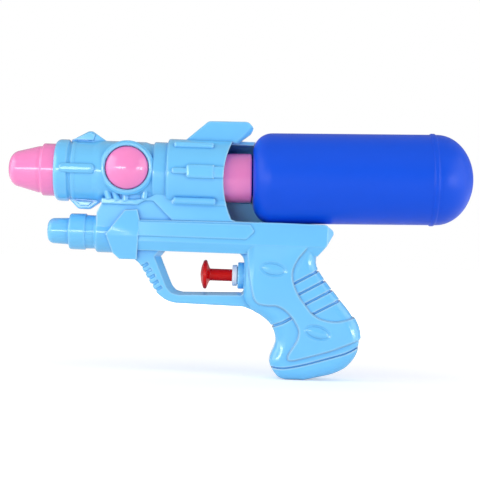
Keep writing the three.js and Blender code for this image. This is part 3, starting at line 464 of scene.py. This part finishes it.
SCREWS = {
    "screw_barrel": (-89, 126.5),
    "screw_band": (-45, 126.5),
    "screw_block": (-66.5, 82),
    "screw_guard": (-50, 60.5),
    "screw_rail": (45.5, 81),
    "screw_grip_upper": (31, 41),
    "screw_grip_lower": (44, 14),
}


# Profiles of places along X and radii

BARREL = rounded([
    (-107.4, 0), (-107.4, 17.9, 3.4), (-99.7, 17.9, 0.9), (-98.8, 16.6, 0.8), (-97.6, 16.6, 0.6),
    (-97, 17.35, 0.5), (-95.4, 17.35, 0.5), (-94.9, 17.05, 0.5), (-85, 17.1, 3), (-81.4, 17.9, 3),
    (-55.4, 17.9, 2), (-52.6, 17, 1), (-50.8, 17, 0.5), (-50.2, 18.2, 1.2), (-43.4, 18.2, 0.6),
    (-42.8, 18, 0.4), (-42.2, SHROUD_RADIUS, 2.2), (8.5, SHROUD_RADIUS, 0.6), (8.5, 0),
])
BARREL_INSIDE = [(-98.6, 0), (-98.6, 14), (-38, 14.4), (-34, 18), (-16, 18), (-16, 0)]
LOWER_BARREL = rounded([
    (-110.6, 0), (-110.6, 7.2, 6), (-98.2, 7.7, 0.5), (-98, 10.4, 1.4), (-88.6, 10.5, 0.7),
    (-88.2, 9.8, 0.4), (-83.2, 9.7, 1.2), (-81.8, 11.6, 1.2), (-66, 11.6), (-66, 0),
])
LOWER_INSIDE = [
    (-108, 0), (-108, 3), (-106, 5.2), (-96, 5.2), (-95, 7.5), (-80, 7.5), (-79, 9.3), (-66, 9.3),
    (-66, 0),
]
NOZZLE_SEAT = [
    (-200, 0), (-200, 15.45), (-103.8, 15.45), (-103.8, 16.5), (-101, 16.5), (-101, 8), (-98, 8),
    (-98, 0),
]
BEZEL = rounded([
    (-2, 0), (-2, 15.6), (16.4, 15.6, 1.5), (18.4, 14, 1.6), (18.2, 12.9, 0.5), (17.6, 12.6), (17.6, 0),
])
ROD_BOSS = rounded([(0.1, 0), (0.1, 7.7, 0.7), (6, 7.7), (6, 0)])


# The two shells

def grip_form(name, more, far=PAST_SEAM):
    """The grip's rounded form, grown by some more or less."""
    return plate(name, grown(GRIP, more), -GRIP_HALF - more, far, GRIP_EDGE + more, segments=8)


def grip_side(name, raised, wider):
    """What a raised grip form and the side panel's outline share."""
    side = plate("side", grown(PANEL, wider), BEFORE_GRIP, 10)
    return combine(grip_form(name, raised), [side], "INTERSECT")


def grip():
    """The grip's form with its ridges and lines, and the raised side panel on it."""
    line_depth = 0.9
    form = grip_form("grip", 0)
    lines = [plate("line", strip(ridge, 1.3), BEFORE_GRIP) for ridge in GRIP_RIDGES]
    for line, width in ((FINGER_GROOVE, 1.5), (BASE_LINE, 0.9)):
        lines.append(plate("line", strip(spline(line, 4), width), BEFORE_GRIP))
    skin = join(lines[0], *lines[1:])
    cut(skin, grip_form("under", -line_depth, far=2 * PAST_SEAM))
    cut(form, skin)
    panel = grip_side("panel", PANEL_RAISE / 2, 0)
    join(panel, grip_side("panel", PANEL_RAISE, -PANEL_RAISE / 2))
    face_y = -GRIP_HALF - PANEL_RAISE
    for x, z, tilt in ((20.3, 63.1, 8), (46.8, 27.8, 14)):
        cut(panel, oval("dish", x, face_y - 0.13, z, (8.2, 0.9, 4.5), tilt))
        join(panel, oval("lens", x, face_y + 0.6, z, (6.6, 1.2, 3.1), tilt))
    return form, panel


def creased(name, outline, half, crease_z, low, high):
    """A plate that is widest at a crease, and narrower by set steps at its lowest and highest points."""
    heights = [z for _, z in outline]
    piece = plate(name, outline, -half, edge=0.8)
    for z, step in ((min(heights), low), (max(heights), high)):
        past = 2 * z - crease_z
        slope = [(-half, crease_z), (step - half, z), (step - half, past)]
        cut(piece, slab("side", slope + [(-REACH, past), (-REACH, crease_z)], -REACH, REACH))
    return piece


def rail():
    """The rail, whose rear end is cut off at a slant."""
    piece = creased("rail", RAIL, 14.2, 76.8, 3, 0.3)
    slant = at(50.6, -14, 0) @ Matrix.Rotation(math.pi / 4, 4, "Z")
    return cut(piece, moved(plate("rear", EVERYWHERE, -REACH, 0), slant))


def opening():
    """The trigger opening, whose sides slope out towards the guard's face."""
    depth = 40
    widening = 1.375  # at that depth, away from the corner that stays in line
    piece = block_of("opening", OPENING, 0, -depth)
    choose_edges(piece, lambda a, b: max(a.y, b.y) < 1 - depth)
    corner = Vector((OPENING_REAR, -depth, OPENING_TOP)) * MM
    bpy.ops.transform.resize(value=(widening, 1, widening), center_override=corner)
    leave()
    return join(piece, plate("through", OPENING, -1, depth))


def shroud_ribs():
    """Half-round and square ribs along the shroud."""
    radius = 2
    ribs = []
    for start, end, angle, proud in ((-36.7, -18.1, 52, 0.3), (-36, -16, -46, 1.3)):
        lean = math.radians(angle)
        reach = SHROUD_RADIUS + proud
        z = BARREL_Z + reach * math.sin(lean)
        ribs.append(rounded_bar("rib", (start, z), (end, z), -reach * math.cos(lean), radius))
    root = -15
    thin = rounded([(-39.4, 115.4, 1.3), (-39.4, 118.9, 1.3), (-29, 118.9), (-29, 115.4)])
    thick = rounded([(-31.2, 113.2, 1.6), (-31.2, 121, 1.6), (-15.2, 121), (-15.2, 113.2)])
    last = rounded([(-16, 113.7), (-16, 120.4), (-9, 120.4), (-9, 113.7)])
    ribs.append(plate("rib", thin, -21.9, root, 1.1))
    ribs.append(plate("rib", thick, -22.7, root, 1.5, segments=4))
    ribs.append(plate("rib", last, -22, root, 1.2))
    return ribs


def barrel_details():
    """The side bar, and the short ribs between the bezel and the web."""
    root = -12
    bar = rounded([(-104, 113.8, 2.5), (-104, 119.6, 2.5), (-83, 119.6, 2.5), (-83, 113.8, 2.5)])
    details = [plate("bar", bar, -19, root, 2.2, segments=5)]
    for start, end in GILLS:
        details.append(rounded_bar("gill", start, end, root, 2))
    return details


def notches():
    """Grooves across the guard's front edge."""
    count = 5
    top, low = Vector((-55.3, 61.5)), Vector((-46.9, 48.4))
    across = Vector((0.84, 0.54))
    grooves = []
    for i in range(count):
        edge = top.lerp(low, i / (count - 1))
        grooves.append(rounded_bar("groove", edge - 4 * across, edge + 3.4 * across, -8.3, 1.15))
        notch = turned("notch", rod(-20, 20, 0.9), steps=THIN_STEPS)
        grooves.append(moved(notch, facing(-1, *(edge - 0.3 * across))))
    return grooves


def at_screws(name, start, end, radius, steps, side=-1):
    """A rod in the line of each screw, between two depths on one side."""
    rods = []
    for x, z in SCREWS.values():
        rods.append(moved(turned(name, rod(start, end, radius), steps=steps), facing(side, x, z)))
    return rods


def cavity():
    """The inside of a shell, around the pump, the hoses and the screws' bosses."""
    inside = turned("cavity", BARREL_INSIDE, BARREL_Z, MIDDLE_STEPS)
    parts = [
        turned("lower", LOWER_INSIDE, LOWER_Z, SLIM_STEPS),
        plate("web", grown(WEB_INSIDE, -WALL), -9.8),
        plate("rail", grown(RAIL_INSIDE, -WALL), -9),
        plate("block", BLOCK_INSIDE, -8.6),
        grip_form("grip", -WALL),
    ]
    join(inside, *parts)
    bosses = at_screws("boss", -30, 30, 4.5, SLIM_STEPS)
    trough = in_tank("trough", rod(14, REACH, BOTTLE_RADIUS + CLEAR + WALL))
    seat = moved(turned("seat", rod(11.5, 40, 15.5)), AT_DOME)
    return cut(inside, trough, seat, *bosses)


def holes():
    """Seats for the nozzle, the dome, the collar, the bottle, the bush, the pump and the screws."""
    gap = 0.4
    shoulder = arc(SHOULDER_CENTRE, SHOULDER_RADIUS + gap, SHOULDER_RADIUS + gap, 180, 90, 12)
    bottle_seat = [(5.9, 0), (5.9, 14.9), *shoulder, (REACH, BOTTLE_RADIUS + gap), (REACH, 0)]
    return [
        turned("nozzle", NOZZLE_SEAT, BARREL_Z),
        moved(turned("dome", rod(13.5, 60, DOME_RADIUS + CLEAR)), AT_DOME),
        turned("cup", rod(-8.8, 12, SHROUD_RADIUS - WALL), BARREL_Z),
        in_tank("flange", rod(-13.9, -11.2, 15.9)),
        in_tank("spout", rod(-20, -13, 3.6), SLIM_STEPS),
        in_tank("collar", rod(-13.6, REACH, 14.5)),
        in_tank("bottle", bottle_seat),
        turned("bush", rod(-0.2, 6, 5.5), PUMP_Z, MIDDLE_STEPS),
        turned("pump", rod(5.6, 31.4, 8.5), PUMP_Z, MIDDLE_STEPS),
        *at_screws("pilot", -1, 6.3, 1.6, THIN_STEPS),
    ]


def rim_cut():
    """What the left shell leaves open behind its scalloped rim."""
    scallop = 55
    rim = arc((45.1, 114), -scallop, -scallop, -25, 25, 50)
    return plate("rim", rim + [(-2.1, 89.8), (REACH, 89.8), (REACH, 136.6)], -60, 10)


def big_fin():
    """The shroud's fin, with a wide slope down its rear edge."""
    slope = [(-3.1, 2.6), (-1.2, -0.3), (-1.2, -4), (-9, -4), (-9, 2.6)]
    lean = Matrix.Rotation(math.radians(-45), 4, "Y")
    rear = moved(slab("slope", slope, -30, 30), at(5, 0, 140.8) @ lean)
    return cut(plate("fin", FIN, -3, -SEAM, 0.9), rear)


def shells():
    """The left shell, and its mirror image with a closed rim and holes for the screws' heads."""
    form, panel = grip()
    left = plate("left_shell_moulding", GUARD, -8, edge=1.2)
    cut(left, *notches())
    join(left, form)
    cut(left, opening())
    solids = [
        panel,
        turned("boss", ROD_BOSS, PUMP_Z),
        rail(),
        plate("rail_panel", RAIL_PANEL, -14.9, edge=0.8),
        creased("web", WEB, 12.4, 107, 1.4, 0.05),
        plate("web_panel", WEB_PANEL, -13.3, edge=0.8),
        creased("block", BLOCK, 15.4, 79.4, 5, 1.8),
        turned("lower", LOWER_BARREL, LOWER_Z),
        turned("barrel", BARREL, BARREL_Z),
        moved(turned("bezel", BEZEL), AT_DOME),
        plate("top_fin", TOP_FIN, -4, edge=0.8),
        plate("top_fin_panel", TOP_FIN_PANEL, -4.8, edge=0.5),
        plate("bottom_fin", BOTTOM_FIN, -4, edge=0.9),
        plate("bottom_fin_panel", BOTTOM_FIN_PANEL, -4.7, edge=0.5),
        plate("skirt", SKIRT, -13.9, edge=0.8),
        *shroud_ribs(),
        *barrel_details(),
    ]
    join(left, *solids)
    cut(left, cavity(), *holes(), plate("other_side", EVERYWHERE, -SEAM, 60))
    right = copied(left, "right_shell_moulding")
    cut(left, rim_cut())
    join(left, big_fin())
    join(right, big_fin())
    mirrored(right)
    cut(right, *at_screws("head", 5.2, 60, 2.7, SLIM_STEPS, side=1))
    return left, right


# Turned pieces

def nozzle_tip():
    profile = rounded([
        (-134.2, 3.2, 0.3), (-134.2, 4), *arc((-127.3, 3), -6.9, 7.6, 10, 84, 9), (-117.4, 13.4, 0.5),
        (-115.2, 13.6, 0.8), (-114.3, 15.2, 0.9), (-103.5, 15.2), (-103.5, 16.2), (-101.3, 16.2),
        (-101.3, 11.5), (-117, 11.5), (-127.4, 8.6), (-127.4, 3.2),
    ])
    return turned("nozzle_cone", profile, BARREL_Z, closed=True)


def dome(side):
    """A low round cap on a short straight rim."""
    height = 6
    top = 23.3
    ball = (DOME_RADIUS**2 + height**2) / (2 * height)
    rim_angle = math.degrees(math.asin(DOME_RADIUS / ball))
    profile = [(13.8, 0), (13.8, DOME_RADIUS - 0.3), (14.1, DOME_RADIUS)]
    profile += arc((top - ball, 0), ball, ball, rim_angle, 0, 16)
    return moved(turned("dome_cap", profile), facing(side, DOME_X, DOME_Z))


def bottle_collar():
    profile = rounded([
        (-19.6, 1.3), (-19.6, 2), (-13.6, 2), (-13.6, 15.6), (-11.5, 15.6), (-11.5, 14.2), (5.2, 14.2),
        (6.2, 13.6, 0.4), (6.2, 12.7, 0.3), (-7.8, 12.7), (-7.8, 1.3),
    ])
    return in_tank("collar_socket", profile, closed=True)


def bottle():
    """A hollow bottle with a threaded neck, a ring near its tail and a dimple in its end."""
    wall = 1.4
    lip = -5.8
    neck = 10.6
    bore = 8.8
    tail = 113
    side = BOTTLE_RADIUS
    proud = side + 0.6
    hollow = SHOULDER_RADIUS - wall
    ring = rounded([
        (100, side), (108.8, side, 0.6), (109.6, proud, 0.5), (111.4, proud, 0.5), (112.2, side, 0.6),
        (tail, side),
    ], 3)[1:-1]
    outside = [
        (lip, neck), (7, neck), *arc(SHOULDER_CENTRE, SHOULDER_RADIUS, SHOULDER_RADIUS, 180, 90, 12),
        (40, side), (75, side), *ring, *arc((tail, 0), 21.4, side, 90, 9, 24), (134, 3.4), (133.6, 2.6),
        (133.6, 0),
    ]
    inside = [
        (130, 0), *arc((tail, 0), 20, side - wall, 10, 90, 10),
        *arc(SHOULDER_CENTRE, hollow, hollow, 90, 180, 6), (8.4, bore), (lip, bore),
    ]
    skin = turned("bottle_blow_moulding", outside + inside, closed=True)
    root = neck - 0.3
    crest = neck + 1.4
    rib = [(-4.9, root), (-4.5, crest), (-3.5, crest), (-3.1, root)]
    join(skin, wound("thread", rib, THREAD_PITCH, 1.25))
    return moved(skin, IN_TANK)


def trigger():
    profile = rounded([
        (-21.5, 0), (-21, 4.4, 9), (-19.6, 8.1, 1.2), (-18.6, 8.45, 0.5), (-17.8, 8.1, 0.6), (-16.8, 5.4, 4),
        (-16, 3.5, 0.8), (8.3, 3.5), (8.3, 1.7), (12.3, 1.7), (12.3, 0),
    ])
    return turned("trigger_plunger", profile, PUMP_Z)


def guide_bush():
    profile = rounded([
        (-3.1, 3.8, 0.3), (-3.1, 6.1, 0.7), (-0.2, 6.1, 0.3), (-0.2, 5.2), (7.6, 5.2), (7.6, 3.8),
    ])
    return turned("rod_bush", profile, PUMP_Z, closed=True)


def coil_spring(start, end):
    """A spring between two places along X, about the pump's axis."""
    wire = 0.5
    coil_radius = 3.9
    coils = 5
    section = arc((start + wire, coil_radius), wire, wire, 0, 330, 11)
    pitch = (end - start - 2 * wire) / coils
    return moved(wound("coil_spring", section, pitch, coils), at(0, 0, PUMP_Z))


def cross_screw():
    """A pan-head screw with a cross recess, along X."""
    profile = rounded([
        (-6, 0), (-6, 0.5), (-5, 1.3), (5.2, 1.3), (5.2, 2.4, 0.2), (6.2, 2.4, 0.4), (7, 1.5, 1.5), (7.2, 0),
    ])
    piece = turned("screw", profile, steps=40)
    arm = 1.5
    half = 0.27
    for across, high in ((arm, half), (half, arm)):
        bar = [(5.9, -high), (5.9, high), (9, high), (9, -high)]
        cut(piece, plate("slot", bar, -across, across))
    return piece


# Materials

class Flow:
    """A socket in a material's node tree, with arithmetic."""

    def __init__(self, tree, socket=None):
        self.tree = tree
        self.socket = socket

    def node(self, kind, settings, output, inputs):
        made = self.tree.nodes.new(kind)
        for name, value in settings.items():
            setattr(made, name, value)
        for name, value in inputs.items():
            if isinstance(value, Flow):
                self.tree.links.new(value.socket, made.inputs[name])
            else:
                made.inputs[name].default_value = value
        return Flow(self.tree, made.outputs[output])

    def maths(self, operation, first, second):
        return self.node("ShaderNodeMath", {"operation": operation}, 0, {0: first, 1: second})

    def __add__(self, other):
        return self.maths("ADD", self, other)

    def __radd__(self, other):
        return self.maths("ADD", other, self)

    def __sub__(self, other):
        return self.maths("SUBTRACT", self, other)

    def __rsub__(self, other):
        return self.maths("SUBTRACT", other, self)

    def __mul__(self, other):
        return self.maths("MULTIPLY", self, other)

    def __rmul__(self, other):
        return self.maths("MULTIPLY", other, self)

    def noise(self, scale, detail):
        pattern = {"Vector": self, "Scale": scale, "Detail": detail}
        return self.node("ShaderNodeTexNoise", {}, "Fac", pattern)

    def blend(self, first, second):
        """A colour that goes from the first to the second as this value goes from 0 to 1."""
        colours = {"Factor": self, 6: first, 7: second}
        return self.node("ShaderNodeMix", {"data_type": "RGBA"}, 2, colours)


def linear(red, green, blue):
    """A screen colour from 0 to 255 as linear light."""
    shares = [level / 255 for level in (red, green, blue)]
    return tuple(((s + 0.055) / 1.055) ** 2.4 if s > 0.04045 else s / 12.92 for s in shares)


def painted_highlight_and_shade(tint, place, pale, deep):
    """A tint with painted highlights, paler along outer edges, and painted shade, deeper in corners and
    grooves.
    """
    strength = 1.1
    shade_reach = 2 * MM
    highlight_reach = 1.1 * MM
    kind = {"samples": 8, "only_local": True}
    # painted shade: darker where nearby surfaces close in, as in corners and grooves
    grooves = 1 - place.node("ShaderNodeAmbientOcclusion", kind, "AO", {"Distance": shade_reach})
    kind["inside"] = True
    # painted highlight: paler along outer edges, where light catches them
    edge_highlight = 1 - place.node("ShaderNodeAmbientOcclusion", kind, "AO", {"Distance": highlight_reach})
    for amount, colour in ((grooves, deep), (edge_highlight, pale)):
        tint = (amount * strength).blend(tint, (*linear(*colour), 1))
    return tint


def finish_of(name, colour, roughness, coat=0.0, metallic=0.0, shine=0.5, grain=0.01, lines=60, painted_light=()):
    """A moulded or turned surface with faint flow marks, uneven gloss and a fine grain."""
    streaks = 0.03
    unevenness = 0.35
    edge_radius = 0.9 * MM
    grain_depth = 0.4 * MM
    grain_scale = 2200
    material = bpy.data.materials.new(name)
    material.use_nodes = True
    tree = material.node_tree
    surface = tree.nodes["Principled BSDF"]
    surface.inputs["Metallic"].default_value = metallic
    surface.inputs["Specular IOR Level"].default_value = shine
    surface.inputs["Coat Weight"].default_value = coat
    surface.inputs["Coat Roughness"].default_value = 0.08
    place = Flow(tree).node("ShaderNodeTexCoord", {}, "Object", {})
    marks = place.noise(lines, 3)
    shades = [tuple(c * (1 + side * streaks) for c in linear(*colour)) + (1,) for side in (-1, 1)]
    tint = marks.blend(*shades)
    # painted highlights along outer edges and painted shade in corners and grooves, where these colours are
    # given
    if painted_light:
        tint = painted_highlight_and_shade(tint, place, *painted_light)
    gloss = roughness + (place.noise(lines * 4, 4) - 0.5) * (roughness * unevenness)
    edges = place.node("ShaderNodeBevel", {"samples": 6}, 0, {"Radius": edge_radius})
    height = place.noise(grain_scale, 2)
    relief = {"Strength": grain, "Distance": grain_depth, "Height": height, "Normal": edges}
    bump = place.node("ShaderNodeBump", {}, 0, relief)
    for socket, flow in (("Base Color", tint), ("Roughness", gloss), ("Normal", bump)):
        tree.links.new(flow.socket, surface.inputs[socket])
    return material


SURFACES = {
    # the light blue shells get painted highlights on their edges and painted shade in their corners
    "shell_blue": finish_of(
        "light blue plastic", (111, 200, 253), 0.2, coat=0.5, painted_light=((200, 238, 255), (44, 140, 224)),
    ),
    "pink": finish_of("pink plastic", (253, 139, 203), 0.2, coat=0.5),
    "bottle_blue": finish_of("deep blue satin plastic", (0, 80, 224), 0.4, shine=0.28, grain=0.06),
    "red": finish_of("red plastic", (206, 4, 6), 0.26, shine=0.25),
    "white": finish_of("white plastic", (226, 233, 247), 0.35, coat=0.2),
    "hose": finish_of("milky vinyl", (226, 234, 238), 0.5),
    "rubber": finish_of("black rubber", (44, 44, 47), 0.65, grain=0.08),
    "steel": finish_of("zinc-plated steel", (186, 190, 196), 0.32, metallic=1.0, lines=400),
}


# The pieces in their places

covered = set()


def dress(piece, body, node, slot, angle=35):
    smooth(piece, angle)
    piece.data.materials.clear()
    piece.data.materials.append(SURFACES[slot])
    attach(piece, body)
    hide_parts(node)
    covered.add(node)


left_shell, right_shell = shells()
dress(left_shell, "body", "left_shell", "shell_blue")
dress(right_shell, "body", "right_shell", "shell_blue")
dress(nozzle_tip(), "body", "nozzle_tip", "pink")
dress(dome(-1), "body", "left_dome", "pink", 50)
dress(dome(1), "body", "right_dome", "pink", 50)
dress(bottle_collar(), "body", "bottle_collar", "pink")
dress(bottle(), "bottle", "bottle", "bottle_blue")
dress(trigger(), "trigger", "trigger", "red")
dress(guide_bush(), "body", "guide_bush", "white")
screw = cross_screw()
for node, (x, z) in SCREWS.items():
    dress(moved(copied(screw, node + "_cross_head"), facing(1, x, z)), "body", node, "steel")
bpy.data.objects.remove(screw)
spring_start, spring_end = (corner[0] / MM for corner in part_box("return_spring"))
spring = coil_spring(spring_start, spring_end)
dress(spring, "body", "return_spring", "steel", 50)
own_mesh(spring)
for subpart in frame["record"]["subparts"]:
    if subpart["node"] not in covered:
        mesh = frame["nodes"][subpart["node"]].data
        mesh.materials.clear()
        mesh.materials.append(SURFACES[subpart["material_slot"]])


# Stage, light and camera

REFLECTED = 0.35  # the share of the white surroundings that shows in or through a piece
FILL = 0.12  # the share of them that lights the part
SENSOR = 36
DISTANCE = 812
VIEW_WIDTH = 278.4  # what the frame spans at the seam
VIEW_X = 0.74
VIEW_Z = 79.2
ROLL = math.radians(2.05)


def seen_by_camera(tree):
    """1 for what the camera sees, less for what it sees in or through a piece, and 0 for other light."""
    seen = Flow(tree).node("ShaderNodeLightPath", {}, "Is Camera Ray", {})
    for ray in ("Is Glossy Ray", "Is Transmission Ray"):
        seen = seen.maths("MAXIMUM", seen, REFLECTED * seen.node("ShaderNodeLightPath", {}, ray, {}))
    return seen


def floor():
    """A pale floor that shows the part's shadow and turns white further away."""
    bpy.ops.object.select_all(action="DESELECT")
    bpy.ops.mesh.primitive_plane_add(size=8)
    plane = bpy.context.object
    plane.name = "floor"
    material = bpy.data.materials.new("pale floor")
    material.use_nodes = True
    tree = material.node_tree
    surface = tree.nodes["Principled BSDF"]
    surface.inputs["Base Color"].default_value = (0.9, 0.9, 0.9, 1)
    surface.inputs["Roughness"].default_value = 1
    surface.inputs["Specular IOR Level"].default_value = 0
    surface.inputs["Emission Strength"].default_value = 1
    seen = seen_by_camera(tree)
    place = seen.node("ShaderNodeTexCoord", {}, "Object", {})
    away = seen.node("ShaderNodeVectorMath", {"operation": "LENGTH"}, "Value", {0: place})
    reach = {"Value": away, "From Min": 0.1, "From Max": 0.55, "To Min": 0.37, "To Max": 0.97}
    level = seen * seen.node("ShaderNodeMapRange", {"interpolation_type": "SMOOTHSTEP"}, 0, reach)
    glow = level.blend((0, 0, 0, 1), (1, 1, 1, 1))
    tree.links.new(glow.socket, surface.inputs["Emission Color"])
    plane.data.materials.append(material)


def area_light(name, place, target, width, height, power):
    light = bpy.data.lights.new(name, "AREA")
    light.shape = "RECTANGLE"
    light.size = width
    light.size_y = height
    light.energy = power
    lamp = bpy.data.objects.new(name, light)
    towards = Vector(target) - Vector(place)
    lamp.matrix_world = Matrix.Translation(place) @ towards.to_track_quat("-Z", "Y").to_matrix().to_4x4()
    lamp.visible_camera = False
    bpy.context.scene.collection.objects.link(lamp)
    return lamp


def studio():
    """A white world, a panel on either side, and panels and strips that are weaker behind the part."""
    world = bpy.data.worlds.new("studio")
    bpy.context.scene.world = world
    world.use_nodes = True
    tree = world.node_tree
    background = tree.nodes["Background"]
    background.inputs["Color"].default_value = (1, 1, 1, 1)
    strength = FILL + seen_by_camera(tree) * (1 - FILL)
    tree.links.new(strength.socket, background.inputs["Strength"])
    middle = (0, 0, 0.08)
    low = (0, 0, 0.1)
    area_light("left panel", (-1.1, -0.2, 0.35), middle, 1, 1, 6.5)
    area_light("right panel", (1.1, -0.2, 0.35), middle, 1, 1, 4.5)
    for side, share in ((-1, 1), (1, 0.7)):
        overhead = area_light("overhead", (0, 0.6 * side, 1), middle, 2, 1.1, 5.4 * share)
        left = area_light("left strip", (-0.55, 0.9 * side, 0.125), low, 0.9, 0.1, 3.6 * share)
        right = area_light("right strip", (0.75, 0.6 * side, 0.125), low, 0.5, 0.1, 2 * share)
        overhead.visible_glossy = False
        left.visible_glossy = right.visible_glossy = side < 0


def camera():
    view = bpy.data.cameras.new("camera")
    view.sensor_width = SENSOR
    view.lens = SENSOR * DISTANCE / VIEW_WIDTH
    view.clip_start = 0.01
    viewer = bpy.data.objects.new("camera", view)
    level = at(VIEW_X, -DISTANCE, VIEW_Z) @ Matrix.Rotation(math.pi / 2, 4, "X")
    viewer.matrix_world = level @ Matrix.Rotation(ROLL, 4, "Z")
    bpy.context.scene.collection.objects.link(viewer)
    bpy.context.scene.camera = viewer


floor()
studio()
bpy.context.scene.view_settings.view_transform = "Standard"
camera()
